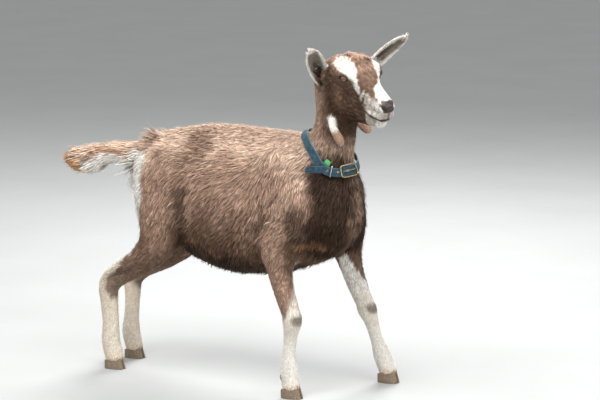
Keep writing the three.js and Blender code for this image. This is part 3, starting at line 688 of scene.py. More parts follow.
def new_object(name, mesh):
    """A mesh as an object of the scene."""
    thing = bpy.data.objects.new(name, mesh)
    bpy.context.scene.collection.objects.link(thing)
    return thing


def mesh_of(name, points, faces, smooth=True):
    """A mesh from plan points and equal-sided faces, each row a face's corners."""
    faces = np.asarray(faces)
    mesh = bpy.data.meshes.new(name)
    mesh.vertices.add(len(points))
    mesh.vertices.foreach_set("co", metres(points).astype(np.float32).ravel())
    mesh.loops.add(faces.size)
    mesh.loops.foreach_set("vertex_index", faces.astype(np.int32).ravel())
    mesh.polygons.add(len(faces))
    mesh.polygons.foreach_set("loop_start", np.arange(0, faces.size, faces.shape[1], dtype=np.int32))
    mesh.update(calc_edges=True)
    if smooth:
        mesh.shade_smooth()
    return mesh


def paint(mesh, name, colours):
    """One linear colour a vertex, in an attribute that a material can read."""
    layer = mesh.attributes.new(name, "FLOAT_COLOR", "POINT")
    rgba = np.ones((len(colours), 4), np.float32)
    rgba[:, :3] = colours
    layer.data.foreach_set("color", rgba.ravel())


def add_uv(mesh, name, uv):
    """One UV place a vertex, spread to the corners that share it."""
    corner = np.empty(len(mesh.loops), np.int32)
    mesh.loops.foreach_get("vertex_index", corner)
    mesh.uv_layers.new(name=name).data.foreach_set("uv", uv[corner].astype(np.float32).ravel())


def read_mesh(mesh):
    """Plan points, triangles and vertex normals of a mesh."""
    mesh.calc_loop_triangles()
    points = np.empty(len(mesh.vertices) * 3, np.float32)
    normals = np.empty(len(mesh.vertices) * 3, np.float32)
    corners = np.empty(len(mesh.loop_triangles) * 3, np.int32)
    mesh.vertices.foreach_get("co", points)
    mesh.vertices.foreach_get("normal", normals)
    mesh.loop_triangles.foreach_get("vertices", corners)
    return points.reshape(-1, 3) / MM + ORIGIN, corners.reshape(-1, 3), normals.reshape(-1, 3).astype(float)


rough = new_object("rough skin", mesh_of("rough skin", net_points, net_faces))
thin = rough.modifiers.new("thin", "DECIMATE")
thin.ratio = SKIN_TRIANGLES / (2.0 * len(net_faces))
shapes = bpy.context.evaluated_depsgraph_get()
skin_mesh = bpy.data.meshes.new_from_object(rough.evaluated_get(shapes))
bpy.data.objects.remove(rough)
skin_mesh.name = "skin"
skin_mesh.shade_smooth()
skin_points, skin_corners, skin_normals = read_mesh(skin_mesh)
print("skin:", len(skin_points), "vertices,", len(skin_corners), "triangles")

# %% [markdown]
# ## Markings
#
# The kid is taupe brown, paler along the back and darker low on the chest and belly, partly its own
# colour and partly painted shade. White are the two face stripes and the muzzle, the ears' rims, a
# streak down to each throat wattle, the lower legs and the patch beside the tail. Each is a region of
# the plan with an edge that wavers, and skin and hair ask the same function, so they always agree.
# Dark lines in the creases of flank, elbow and chest, under the belly and over the chest are painted shade.

# %% Waves and borders
dice = np.random.default_rng(20)
WAVES = [(unit(dice.normal(size=3)), dice.uniform(0.7, 1.5), dice.uniform(0, 6.28)) for _ in range(8)]


def waver(p, size, turn=0.0):
    """A smooth uneven field from -1 to 1: the mean of eight plane waves about size long."""
    total = sum(np.sin(p @ (way * 6.28 * rate / size) + phase + turn) for way, rate, phase in WAVES)
    return total / 3.2


def border(x, stops):
    """A smooth line through (x, y) stops."""
    xs, ys = np.array(stops, float).T
    return np.interp(x, xs, ys)


def rgb(r, g, b):
    """Screen red, green and blue, 0 to 255, as linear light."""
    c = np.array([r, g, b]) / 255.0
    return np.where(c <= 0.04045, c / 12.92, ((c + 0.055) / 1.055) ** 2.4)


def mix(a, b, share):
    """Colour a turning into colour b, row by row or by one share for all."""
    return a + (b - a) * np.atleast_1d(share)[:, None]


HAIR = {
    "cream": rgb(222, 191, 168),
    "taupe": rgb(163, 133, 114),
    "brown": rgb(108, 83, 66),
    "dark": rgb(50, 36, 26),
    "ginger": rgb(164, 118, 86),
    "fawn": rgb(198, 158, 134),
    "white": rgb(232, 226, 216),
    "sand": rgb(218, 198, 172),
    # grey: stains on the legs, and painted shade in the ears' hollows.
    "grey": rgb(94, 83, 71),
    "orange": rgb(204, 150, 100),
    "nose": rgb(58, 48, 46),
    "lip": rgb(122, 100, 92),
    # rim: the lids' rims and tear marks, and painted shade in the ears' hollows and canal.
    "rim": rgb(50, 37, 30),
    # mouth: painted shade for the crease of the mouth and inside the nostrils.
    "mouth": rgb(34, 24, 21),
}

# %% Markings of the head
def nose_pad(q):
    """1 on the bare pad: ahead of a slanting line, between its sides, from the bridge down to the lip."""
    x, y, z = q.T
    front = np.minimum(x - 209.0 + 0.6 * (z + 12.0), 17.0 - np.abs(y - 1.0) - 0.25 * np.abs(z + 24.0))
    return rise(-1.2, 1.2, front) * rise(-11.5, -14.0, z) * rise(-40.0, -36.5, z)


BLAZE_RIGHT = [  # the brown blaze's borders, y over x in the head's own axes
    (10, -9), (58, -15), (78, -14), (96, -12.5), (109, -15.5), (122, -22.5), (130, -26), (145, -25.5),
    (162, -23), (187, -21), (203, -19),
]
BLAZE_LEFT = [
    (10, 24), (40, 31), (57, 36), (77, 38.5), (99, 32), (115, 25), (126, 25), (137, 22), (156, 10),
    (164, -2), (171, -8.5), (187, -12), (199, -13), (204, -18),
]
STRIPE_LOW = [  # the white stripes' lower border, z over x
    (18, 1), (40, -1), (56, 1), (69, 5), (92, 9), (103, 8), (111, 5), (118, 0), (125, -10), (129, -20),
    (137, -32), (143, -42), (151, -52), (155, -61), (158, -70), (162, -100), (240, -140),
]
WHITE_FROM = 22.0  # the stripes begin this far in front of the poll
STREAKS = [  # the white streaks from under the ears to the wattles: points, each with half the width there
    [(33, -56, -102, 2), (48, -57, -117, 5), (64, -58, -124, 6.5), (80, -60, -131, 8)],
    [(14, 50, -72, 3), (24, 54, -92, 4)],
]
LINES = {(name, side): drawn(FURROWS[name][0], side) for name in FURROWS for side in (1, -1)}


def layered(c, *layers):
    """Named colours laid over c one after another, each by its own share."""
    for name, share in layers:
        c = mix(c, HAIR[name], share)
    return c


def head_colours(p, q, base):
    """Brown head with white stripes, muzzle and streaks, dark lids, nose and lips, and a fawn crown; painted
    shade on the lower face, under the jaw and forelock, in the mouth's crease and nostrils.
    """
    ripple = 1.6 * waver(p, 16.0) + 0.8 * waver(p, 6.0, 3.0)
    patch = waver(p, 26.0, 5.0)
    x, y, z = q.T
    top = rise(-4, 10, z + 3.0 * patch) * (1 - rise(150, 190, x))
    crown = rise(-12, 8, z) * rise(92, 66, x + 3.0 * ripple)
    brow = waver(q * [0.22, 1.0, 0.7], 8.0, 7.0)
    strands = waver(q * [0.3, 1.0, 0.6], 9.0, 8.0)
    cheek = waver(q * [0.5, 1.0, 1.4], 12.0, 9.0)
    c = layered(
        base,
        ("brown", 0.85),
        # Painted shade: the face darker towards its lower edge, a painted shadow under the jaw, and darker
        # low behind the cheeks.
        ("dark", 0.5 * rise(10, -50, z) * rise(60, 110, x) * rise(190, 150, x)),
        ("dark", 0.75 * rise(-78, -112, z + 6.0 * patch)),
        ("dark", 0.45 * rise(20.0, 6.0, np.abs(y) - 44.0) * rise(66, 40, x) * rise(20, -6, z)),
        ("taupe", (0.75 - 0.45 * rise(96, 132, x) + 0.18 * patch) * top),
        ("fawn", (0.75 + 0.2 * patch) * crown),
        # A painted shadow under the forelock's front edge.
        ("brown", 0.7 * rise(7.0, 2.0, np.abs(x - 94.0 - 2.0 * ripple)) * rise(6, 16, z)),
        ("dark", 0.4 * rise(0.05, 0.8, brow) * rise(-4, 10, z) * rise(64, 90, x)),
        ("brown", 0.55 * rise(0.1, 0.8, strands) * crown),
        ("taupe", 0.3 * rise(0.1, 0.8, cheek) * rise(12, -10, z)),
    )
    blaze = np.minimum(y - border(x, BLAZE_RIGHT), border(x, BLAZE_LEFT) - y) + ripple
    above = z - border(x, STRIPE_LOW) + ripple
    stripe = rise(-1.5, 1.5, above) * rise(1.5, -1.5, blaze)
    stripe *= rise(WHITE_FROM - 3, WHITE_FROM + 3, x + ripple)
    muzzle = rise(154, 159, x + 0.6 * ripple) * rise(-46, -56, z)
    ahead = rise(156, 162, x + 0.12 * z + ripple) * rise(-62, -52, z)
    white = np.maximum(stripe, np.maximum(muzzle, ahead) * rise(1.5, -1.5, blaze * rise(-20, -10, z)))
    streaks = np.min([to_polyline(np.array(points, float), q) for points in STREAKS], axis=0)
    lips = rise(22, 10, np.abs(y)) * rise(205, 216, x) * rise(-34, -42, z) * rise(-72, -64, z)
    c = layered(
        c,
        ("white", white),
        ("white", rise(2.0, -2.0, streaks - 0.5 * ripple)),
        ("lip", 0.55 * lips),
        ("nose", nose_pad(q)),
        ("nose", 0.85 * rise(4.0, 1.2, to_polyline(LINES["lip groove", 1], q))),
    )
    for side in (1, -1):
        line = to_polyline(LINES["mouth", side], q)
        c = layered(
            c,
            ("lip", 0.85 * rise(7.0, 4.0, line + 1.2 * rise(190, 165, x))),
            # Painted shade in the mouth's crease and inside the nostrils.
            ("mouth", rise(3.8, 2.2, line - 0.6 * rise(190, 212, x))),
            ("mouth", rise(3.2, 1.6, to_polyline(LINES["nostril", side], q))),
        )
    for side in (1, -1):
        gap, r = opening(side, q)
        lid = rise(EYE["radius"] + 8.0, EYE["radius"] + 5.0, r)
        c = layered(
            c,
            ("brown", 0.75 * lid * rise(8.0, 5.0, gap)),
            ("rim", 0.95 * lid * rise(4.4, 2.4, gap)),
            ("rim", 0.8 * rise(3.4, 1.4, to_polyline(LINES["tear", side], q))),
        )
    return c


def with_ears_and_wattles(c, q):
    """Ears pale outside and at the rim and painted dark in the hollow as shade, a white right wattle and a
    taupe left.
    """
    for shape, begins in ((EAR_RIGHT, 0.0), (EAR_LEFT, 0.24)):
        away, share, v, off = ear_distance(shape, q)
        on = rise(5.0, 1.0, away) * rise(-60.0, -51.0, q[:, 2])
        ear = mix(HAIR["white"], HAIR["taupe"], 0.45 * (off < 0) * rise(0.15, 0.5, share))
        hollow = rise(0.86, 0.6, np.abs(v)) * rise(0.97, 0.85, share) * rise(-1.0, 0.5, off)
        hollow *= rise(begins - 0.04, begins + 0.16, share)
        hollow *= rise(0.6, 0.3, v + 0.35 * (1.0 - share)) if begins else 1.0
        # Painted shade in the ear's cup.
        ear = mix(ear, HAIR["grey"], 0.85 * hollow)
        ear = mix(ear, HAIR["rim"], 0.7 * hollow * rise(0.45, 0.1, np.abs(v)) * rise(0.75, 0.5, share))
        c = mix(c, ear, on)
        # Painted shade in the right ear's canal.
        c = mix(c, HAIR["rim"], 0.9 * (begins == 0.0) * rise(3.5, 0.5, canal(shape, q)))
    shades = (HAIR["white"], 0.5 * HAIR["taupe"] + 0.5 * HAIR["brown"])
    for wattle, stations, colour in zip(WATTLES, (WATTLE_RIGHT, WATTLE_LEFT), shades):
        on = rise(7.0, 2.0, distance(wattle, q))
        from_end = np.linalg.norm(q - stations[-1][:3], axis=1)
        tip = rise(42.0, 34.0, from_end) * rise(5.0, 11.0, from_end)
        c = mix(c, mix(colour, 0.25 * HAIR["fawn"] + 0.75 * HAIR["taupe"], tip), on)
    return c


# %% Markings of the body
RUMP_EDGE = [
    (180, -345), (234, -332), (262, -298), (290, -264), (314, -240), (379, -227), (405, -217), (437, -213),
    (454, -210), (477, -216), (500, -218), (522, -217), (538, -222), (548, -262),
]  # x of the white patch's front edge over z
TOUCHES = [  # colour, share, full within, gone beyond, points on the right side; the left side mirrors them
    ("brown", 0.65, 16, 46, [(-80, -24, 572), (-60, -50, 556)]),
    ("brown", 0.7, 10, 26, [(-240, -10, 572), (-228, -30, 566)]),
    ("brown", 0.5, 12, 34, [(-182, -60, 540), (-110, -60, 532)]),
    ("brown", 0.2, 26, 52, [(-178, -92, 490), (-150, -98, 450), (-118, -94, 470)]),
    ("taupe", 0.6, 18, 40, [(-176, -108, 380), (-160, -108, 340)]),
    # The dark rows below are painted shade: in the crease before the thigh, under the belly, behind the
    # elbow, where the foreleg meets the chest, and over the chest.
    ("dark", 0.65, 7, 30,
     [(-101, -92, 462), (-94, -97, 430), (-97, -93, 391), (-105, -81, 352), (-105, -58, 318)]),
    ("dark", 0.5, 10, 40, [(-60, -84, 326), (-14, -74, 305), (60, -66, 300)]),
    ("ginger", 0.35, 1, 9, [(-69, -89, 356), (-40, -87, 342), (-14, -82, 330), (32, -83, 328)]),
    ("cream", 0.22, 6, 42,
     [(223, -72, 515), (206, -88, 492), (191, -94, 469), (183, -98, 433), (172, -103, 398),
      (169, -110, 351)]),
    ("dark", 0.5, 6, 24, [(130, -93, 426), (133, -91, 394), (141, -101, 347)]),
    ("dark", 0.75, 16, 40, [(221, -97, 437), (238, -95, 412), (237, -92, 378), (262, -70, 414)]),
    ("dark", 0.95, 36, 72, [(285, -34, 536), (290, -36, 480), (286, -44, 430), (276, -40, 384)]),
    ("ginger", 0.4, 4, 14, [(234, -88, 370), (255, -60, 376), (279, -40, 364)]),
]
LEG_TOUCHES = [
    ("dark", 0.3, 4, 20, [(-321, -104, 230), (-281, -108, 250), (-231, -112, 272), (-187, -109, 280)]),
    ("white", 0.8, 1, 7, [(-250, -98, 300), (-286, -96, 272), (-336, -94, 232)]),
    ("taupe", 1.0, 20, 44, [(158, -104, 372), (168, -110, 340), (176, -112, 290), (190, -104, 250)]),
]


def body_colours(p):
    """Cream along the back through taupe to dark brown below, partly painted shade, with a pale strip behind
    the neck and a front of the neck painted darker as shade.
    """
    x, y, z = p.T
    wave = waver(p, 110.0)
    fine = waver(p, 34.0, 2.0)
    # Darker towards the bottom: partly the coat's own colour, partly painted shade under the body.
    tone = z + 22.0 * wave + 9.0 * fine + 20.0 * rise(-40.0, 170.0, x) + 46.0 * rise(-96.0, -150.0, x)
    c = mix(HAIR["dark"], HAIR["brown"], rise(286.0, 376.0, tone))
    c = mix(c, HAIR["taupe"], rise(362.0, 492.0, tone))
    c = mix(c, HAIR["cream"], 0.9 * rise(532.0, 606.0, tone))
    neck = rise(560.0, 640.0, z)
    back = rise(-24.0, 14.0, 262.0 - x + 0.1 * (z - 640.0) + 8.0 * fine)
    front = rise(-14.0, 34.0, x - 276.0 - 0.2 * y + 6.0 * fine)
    shade = mix(HAIR["brown"], 0.25 * HAIR["cream"] + 0.75 * HAIR["taupe"], 0.8 * back)
    # The front of the neck and throat is painted darker, as painted shade.
    shade = mix(shade, HAIR["dark"], 0.75 * front)
    return mix(c, shade, neck)


def folded_over(p):
    """The left half mirrored onto the right: y becomes -|y|."""
    return p * [1.0, 0.0, 1.0] - np.abs(p) * [0.0, 1.0, 0.0]


def with_touches(c, p, touches):
    """Darker and paler places along short lines: share x step(distance to the line), uneven at its edge."""
    folded = folded_over(p)
    uneven = 5.0 * waver(p, 30.0, 6.0)
    body = np.flatnonzero(p[:, 2] < 620.0)
    for name, share, near, far, points in touches:
        away = to_polyline(np.array(points, float), folded[body]) + uneven[body]
        c[body] = mix(c[body], HAIR[name], share * rise(far, near, away))
    return c


def with_rump(c, p, d):
    """The white patch beside and under the tail, running down the back of each thigh."""
    x, z = p[:, 0], p[:, 2]
    ripple = 4.0 * waver(p, 22.0)
    edge = border(z, RUMP_EDGE) + ripple
    patch = rise(3.0, -3.0, x - edge) * rise(540.0, 532.0, z + 0.25 * ripple) * rise(178.0, 186.0, z)
    return mix(c, HAIR["white"], patch * (1.0 - tail_share(d)))


def with_legs(c, p, d):
    """White feet. The brown runs lowest on the forearm's outer back edge and the gaskin's front."""
    z = p[:, 2]
    ripple = 7.0 * waver(p, 20.0)
    for name, stations in LEGS.items():
        near = np.flatnonzero(d[name] < 20.0)
        if not len(near):
            continue
        line = np.array(stations, float)[::-1]
        middle = np.stack([np.interp(z[near], line[:, 2], line[:, k]) for k in (0, 1)], axis=1)
        side = 1 if name.endswith("left") else -1
        ahead = unit(p[near, :2] - middle)
        front, outer = ahead[:, 0], ahead[:, 1] * side
        if name.startswith("fore"):
            brown_to = 236.0 + 30.0 * front - 34.0 * outer + 52.0 * rise(0.1, 0.9, -outer)
            stain = rise(13.0, 4.0, np.hypot((z[near] - 190.0) / 1.4, 20.0 * (1.0 - front)))
            white = HAIR["white"]
        else:
            brown_to = 214.0 - 34.0 * front + 30.0 * rise(0.0, 0.8, -front) - 6.0 * outer
            stain = 0.35 * rise(40.0, 10.0, np.abs(z[near] - 205.0)) * rise(0.2, 0.9, front)
            white = 0.45 * HAIR["sand"] + 0.55 * HAIR["white"]
        foot = rise(7.0, -7.0, z[near] - brown_to - ripple[near])
        leg = mix(c[near], 0.5 * (HAIR["brown"] + HAIR["taupe"]), 0.7 * rise(350.0, 290.0, z[near]))
        leg = mix(leg, white, foot)
        sandy = 0.6 * rise(46.0, 30.0, z[near]) + 0.25 * rise(60.0, 30.0, np.abs(z[near] - 190.0))
        leg = mix(leg, HAIR["sand"], sandy)
        leg = mix(leg, HAIR["grey"], 0.8 * stain)
        c[near] = mix(c[near], leg, rise(20.0, 6.0, d[name][near]))
    return c


def with_tail(c, p, d):
    """Cream above a ginger line, white below, with a cream and orange tip and a dark smudge before it."""
    line = np.array(TAIL, float)[::-1]
    middle = np.interp(p[:, 0], line[:, 0], line[:, 2])
    over = p[:, 2] - middle + 3.0 * waver(p, 14.0)
    tail = mix(HAIR["white"], 0.5 * (HAIR["ginger"] + HAIR["fawn"]), rise(-1.0, 5.0, over))
    smudge = rise(-372.0, -392.0, p[:, 0]) * rise(-424.0, -404.0, p[:, 0]) * rise(-6.0, 6.0, over)
    tail = mix(tail, HAIR["brown"], 0.8 * smudge)
    tail = mix(tail, HAIR["cream"], 0.85 * rise(7.0, 15.0, over))
    tip = mix(HAIR["cream"], HAIR["orange"], rise(10.0, -8.0, over))
    tail = mix(tail, tip, rise(-392.0, -416.0, p[:, 0]))
    return mix(c, tail, tail_share(d))


def markings(p):
    """The coat's colour at plan points."""
    d, q = parts_of(p)
    c = with_legs(with_rump(with_touches(body_colours(p), p, TOUCHES), p, d), p, d)
    c = with_tail(with_touches(c, p, LEG_TOUCHES), p, d)
    near = np.flatnonzero(d["head"] < 90.0)
    if len(near):
        share = head_share({k: v[near] for k, v in d.items()})
        head = head_colours(p[near], q[near], c[near])
        c[near] = with_ears_and_wattles(mix(c[near], head, share), q[near])
    return np.clip(c, 0.0, 1.0)


skin_colours = markings(skin_points)
print("markings: mean colour", skin_colours.mean(0).round(3))

# %% [markdown]
# ## The lie of the coat
#
# Hair points back along the spine, turns downward over the flank and runs straight down the
# shoulder, chest, neck and legs. On the face it points up from the nose. Each part of the plan has
# its own direction, and the parts share a point by how near they are, so that the lie turns
# smoothly from one to the next.

# %% Directions
LIE_MIX = 14.0  # how far, in millimetres, one part's direction reaches into the next


def run_of(s, p):
    """The direction of the nearest span of a path."""
    out = np.empty((len(p), 3))
    for block in np.array_split(np.arange(len(p)), len(p) // BLOCK + 1):
        out[block] = s["axes"][2][spans(s, p[block].astype(np.float32)).argmin(1)]
    return out


def slope_of(p):
    """Fall on the barrel: 18 degrees along the back, 50 at mid flank, 62 low down, 68 on the shoulder."""
    x, z = p[:, 0], p[:, 2]
    slope = 18.0 + 32.0 * rise(590.0, 455.0, z) + 12.0 * rise(420.0, 320.0, z)
    return np.radians(slope + (68.0 - slope) * rise(60.0, 150.0, x + 0.25 * (500.0 - z)))


def crown_share(q):
    """1 on the crown, whose long hair falls forward and to the left."""
    fawn = np.maximum(rise(-18.0, -10.0, q[:, 1]) * rise(34.0, 26.0, q[:, 1]), rise(24.0, 14.0, q[:, 0]))
    return rise(-10.0, 10.0, q[:, 2]) * rise(88.0, 66.0, q[:, 0]) * rise(-6.0, 10.0, q[:, 0]) * fawn


def lie(p, q, d, normals):
    """Hair direction: parts' directions weighed by exp(-(distance - least) / mix), laid flat on the skin."""
    slope = slope_of(p)
    ways = {"barrel": np.stack([-np.cos(slope), 0.0 * slope, -np.sin(slope)], axis=1)}
    ways["neck"] = -run_of(NECK_PATH, p)
    ways["tail"] = run_of(TAIL_PATH, p)
    ways |= {name: run_of(path, p) + [-0.35, 0.0, 0.0] for name, path in LIMBS.items()}
    crown = crown_share(q)[:, None]
    ways["head"] = np.array([-1.0, 0.0, -0.25]) * (1 - crown) + np.array([0.7, 0.75, 0.1]) * crown
    ways["head"] = ways["head"] @ HEAD_AXES.T
    least = np.min([d[name] for name in ways], axis=0)
    way = sum(np.exp(-(d[name] - least) / LIE_MIX)[:, None] * unit(w) for name, w in ways.items())
    for shape in EARS:
        out = unit(np.array(shape["tip"], float) - shape["root"]) @ HEAD_AXES.T
        way = mix(way, out, rise(5.0, 1.0, ear_distance(shape, q)[0]))
    for wattle in WATTLES:
        way = mix(way, run_of(wattle, q) @ HEAD_AXES.T, rise(6.0, 2.0, distance(wattle, q)))
    way = unit(way - normals * np.sum(way * normals, axis=1, keepdims=True))
    turn = (0.14 * waver(p, 120.0, 1.0) + 0.10 * waver(p, 42.0, 4.0))[:, None]
    return unit(way * np.cos(turn) + np.cross(normals, way) * np.sin(turn))


# %% [markdown]
# ## How long, wide and raised each tuft is
#
# A tuft stands for a pinch of hairs. Tufts are about 24 mm long on the barrel, 30 on the croup, 11
# on the neck, 5 on the shins and only 3 at the muzzle. `cover` is how many tufts lie over each
# spot, and sets how many there are.

# %% Style of the tufts
CROUP = np.array([-240.0, -10.0, 572.0])  # a ruffled spot above the tail
DOCK = np.array([-276.0, -38.0, 496.0])  # long white hair under the tail's root, on both sides
DOCK_REACH = np.array([32.0, 32.0, 34.0])


def ear_share(q):
    """1 on the ears, and 1 on the wattles, as two arrays."""
    away = np.min([ear_distance(shape, q)[0] for shape in EARS], axis=0)
    wattle = np.min([distance(w, q) for w in WATTLES], axis=0)
    return rise(5.0, 1.0, away), rise(6.0, 2.0, wattle)


def loose_spots(p):
    """1 where hair stands well clear of the body, for the ruffled croup and for under the tail's root."""
    croup = np.exp(-np.sum((p - CROUP) ** 2, axis=1) / (2 * 17.0**2))
    return croup, np.exp(-np.sum((folded_over(p) - DOCK) ** 2 / DOCK_REACH**2, axis=1))


def style(p, q, d):
    """Length, width, rise of the tip over the skin, and cover, each blended from part to part."""
    x, z = p[:, 0], p[:, 2]
    belly = rise(330.0, 280.0, z)
    croup, dock = loose_spots(p)
    neck = rise(560.0, 640.0, z)
    low = rise(390.0, 150.0, z)
    crown = crown_share(q)
    face = rise(15.0, 170.0, q[:, 0])
    depth = coat_depth(p, q, d)
    zero = 0.0 * x
    barrel = np.stack([24.0 + 6.0 * belly + 6.0 * croup - 13.0 * neck + 40.0 * dock,
                       1.35 - 0.3 * neck + 0.4 * dock + 0.5 * croup,
                       (0.85 - 0.2 * neck) * depth + 20.0 * croup + 3.0 * belly + 30.0 * dock,
                       3.1 + 0.4 * neck])
    leg = np.stack([17.0 - 11.5 * low, 1.25 - 0.4 * low, 0.8 * depth, 3.0 - 1.4 * low])
    bush = rise(-370.0, -420.0, x)
    tail = np.stack([26.0 + 12.0 * bush, 1.5 + zero, 0.8 * depth + 2.0 + 9.0 * bush, 4.4 + zero])
    head = np.stack([9.0 - 6.0 * face + 13.0 * crown, 1.0 - 0.3 * face + 1.0 * crown,
                     0.75 * depth + 5.0 * crown, 2.3 - 0.9 * face + 1.6 * crown])
    ear, wattle = ear_share(q)
    out = barrel + (leg - barrel) * leg_share(d)
    out += (tail - out) * tail_share(d)
    out += (head - out) * head_share(d)
    out += (np.stack([7.0 + zero, 0.9 + zero, 1.1 + zero, 1.6 + zero]) - out) * ear
    out += (np.stack([6.5 + zero, 0.9 + zero, 0.8 + zero, 2.2 + zero]) - out) * wattle
    return out


def bare(p, q):
    """1 where no hair grows: eyes and their lids' rims, nose pad, lips' line and the ends of the legs."""
    out = rise(26.0, 22.0, p[:, 2])
    for side in (1, -1):
        gap, r = opening(side, q)
        out = np.maximum(out, (r < EYE["radius"] + 7.0) * (gap < 2.4))
    pad = nose_pad(q) > 0.2
    for side in (1, -1):
        pad = np.maximum(pad, to_polyline(LINES["mouth", side], q) < 3.6)
    return np.maximum(out, pad)


# %% [markdown]
# ## Roots
#
# Roots are scattered over the skin's triangles. Each triangle owns a stretch of a line as long as
# its area times the tufts wanted there, and evenly spaced marks with a little jitter fall into the
# stretches.

# %% Scatter roots
TUFTS = 236000
scatter = np.random.default_rng(7)
a, b, c = (skin_points[skin_corners[:, k]] for k in range(3))
centres = (a + b + c) / 3.0
areas = 0.5 * np.linalg.norm(np.cross(b - a, c - a), axis=1)
d_centres, q_centres = parts_of(centres)
long, wide, high, cover = style(centres, q_centres, d_centres)
wanted = areas * cover / (0.5 * long * wide) * (1.0 - bare(centres, q_centres))
print("tufts wanted:", int(wanted.sum()), "for", int(areas.sum()), "square millimetres")
wanted = np.cumsum(wanted * TUFTS / wanted.sum())
marks = (np.arange(TUFTS) + scatter.random(TUFTS)) * wanted[-1] / TUFTS
owner = np.searchsorted(wanted, marks).clip(0, len(wanted) - 1)
u, v = scatter.random((2, TUFTS))
u, v = np.where(u + v > 1, 1 - u, u), np.where(u + v > 1, 1 - v, v)
corners = skin_corners[owner]
shares = np.stack([1 - u - v, u, v], axis=1)
roots = np.einsum("ij,ijk->ik", shares, skin_points[corners])
root_normals = unit(np.einsum("ij,ijk->ik", shares, skin_normals[corners]))
root_colours = np.einsum("ij,ijk->ik", shares, skin_colours[corners])

# %% [markdown]
# ## Locks
#
# Hair gathers. One root in fourteen leads a lock, and the roots nearest to it lean their tips
# towards its tip. A lock has one turn, length and lightness. Its middle stands higher and paler
# than its edges: the darker edges are painted shade in the partings that make a rough coat.

# %% Find each root's leader
PER_LOCK = 14


def nearest(points, leaders):
    """Row of the nearest leader: the least |leader|^2 - 2 point . leader, in blocks."""
    size = (leaders**2).sum(1)
    out = np.empty(len(points), int)
    for block in np.array_split(np.arange(len(points)), len(points) // 4000 + 1):
        out[block] = (size - 2.0 * points[block] @ leaders.T).argmin(1)
    return out


order = scatter.permutation(TUFTS)
leaders = np.sort(order[: TUFTS // PER_LOCK])
slabs = np.digitize(roots[:, 0], np.linspace(-470, 480, 40))
leader = np.empty(TUFTS, int)
middle_of = roots.mean(0)
for slab in np.unique(slabs):
    mine = np.flatnonzero(slabs == slab)
    pool = leaders[np.abs(slabs[leaders] - slab) <= 1]
    leader[mine] = pool[nearest((roots[mine] - middle_of).astype(np.float32),
                                (roots[pool] - middle_of).astype(np.float32))]
print("locks:", len(leaders))

# %% [markdown]
# ## Tufts
#
# Each tuft is a narrow tent: a left edge, a raised ridge and a right edge at two rows from the
# root, then one tip. It sets out along the lie. Two distances to the skin, at its middle and its
# end, tell how the body curves away beneath it, and it is bent to follow: the shortfall at share s
# is (4 m - e) s + (2 e - 4 m) s^2.

# %% Bend the tufts over the body
PAST_SOLID = 3.5  # how far a tip may stand out of the plain solid, in millimetres
LEAN = {"share": 0.18, "most": 0.55}  # towards the leader's tip: of the way there, at most of its length


def by_lock(spread):
    """A random number for each tuft, the same all through its lock."""
    return scatter.normal(0.0, spread, TUFTS)[leader]


def by_tuft(spread):
    """A random number for each tuft alone."""
    return scatter.normal(0.0, spread, TUFTS)


ROWS = np.array([0.0, 0.52, 1.0])
d_roots, q_roots = parts_of(roots)
long, wide, high, cover = style(roots, q_roots, d_roots)
way = lie(roots, q_roots, d_roots, root_normals)
turn = (by_lock(0.08) + by_tuft(0.09))[:, None]
way = unit(way * np.cos(turn) + np.cross(root_normals, way) * np.sin(turn))
side = np.cross(root_normals, way)
long = np.clip(long * (1.0 + 0.16 * by_lock(1.0) + 0.12 * by_tuft(1.0)), 2.0, 62.0)
middles = roots + way * (0.5 * long)[:, None]
ends = roots + way * long[:, None]
at_middle, at_end = np.split(skin(np.vstack([middles, ends])), 2)
print("tufts bent:", TUFTS, "curving away by", at_end.mean().round(2), "mm on average")


def spine(s):
    """The ridge at share s: along the lie, less the shortfall, plus the height h (1.7 s - 0.7 s^3)."""
    shortfall = (4.0 * at_middle - at_end) * s + (2.0 * at_end - 4.0 * at_middle) * s * s
    height = -0.4 + tip_height * (1.7 * s - 0.7 * s**3)
    return roots + way * (long * s)[:, None] + root_normals * (height - shortfall)[:, None]


from_leader = np.linalg.norm(roots - roots[leader], axis=1)
lock_size = np.bincount(leader, from_leader, TUFTS) / np.maximum(np.bincount(leader, minlength=TUFTS), 1)
edge = np.clip(from_leader / np.maximum(2.0 * lock_size[leader], 0.5), 0.0, 1.0)
lift = by_lock(0.10) + by_tuft(0.16)
stray = np.where(scatter.random(TUFTS) < 0.08, scatter.uniform(0.3, 1.2, TUFTS), 0.0)
croup, dock = loose_spots(roots)
loose = np.maximum(croup, dock)
ruffle = (croup + 0.3 * dock) * scatter.uniform(-0.7, 0.9, TUFTS)
tip_height = high * np.clip(0.92 - 0.14 * edge + lift + stray + ruffle, 0.25, 2.4)
plain = 1.0 - np.maximum(*ear_share(q_roots))
allowed = PAST_SOLID + 4.0 * stray + 36.0 * loose + 12.0 * rise(-400.0, -440.0, roots[:, 0])
over = (solid_distance(spine(1.0)) - allowed) * plain
tip_height = np.maximum(tip_height - np.maximum(over, 0.0), 0.4)
over = (solid_distance(spine(1.0)) - allowed) * plain
points = np.stack([spine(s) for s in ROWS], axis=1)
pull = (points[:, -1][leader] - points[:, -1]) * (leader != np.arange(TUFTS))[:, None]
reach = np.linalg.norm(pull, axis=1, keepdims=True)
pull *= np.minimum(1.0, LEAN["most"] * long[:, None] / np.maximum(reach, 1e-6))
points += LEAN["share"] * pull[:, None] * (ROWS**2)[:, None]
points = points[:, :1] + (points - points[:, :1]) * np.clip(1.0 - over / long, 0.3, 1.0)[:, None, None]

# %% Give them width and colour
WIDTHS = np.array([0.85, 1.0])
on_head = head_share(d_roots)
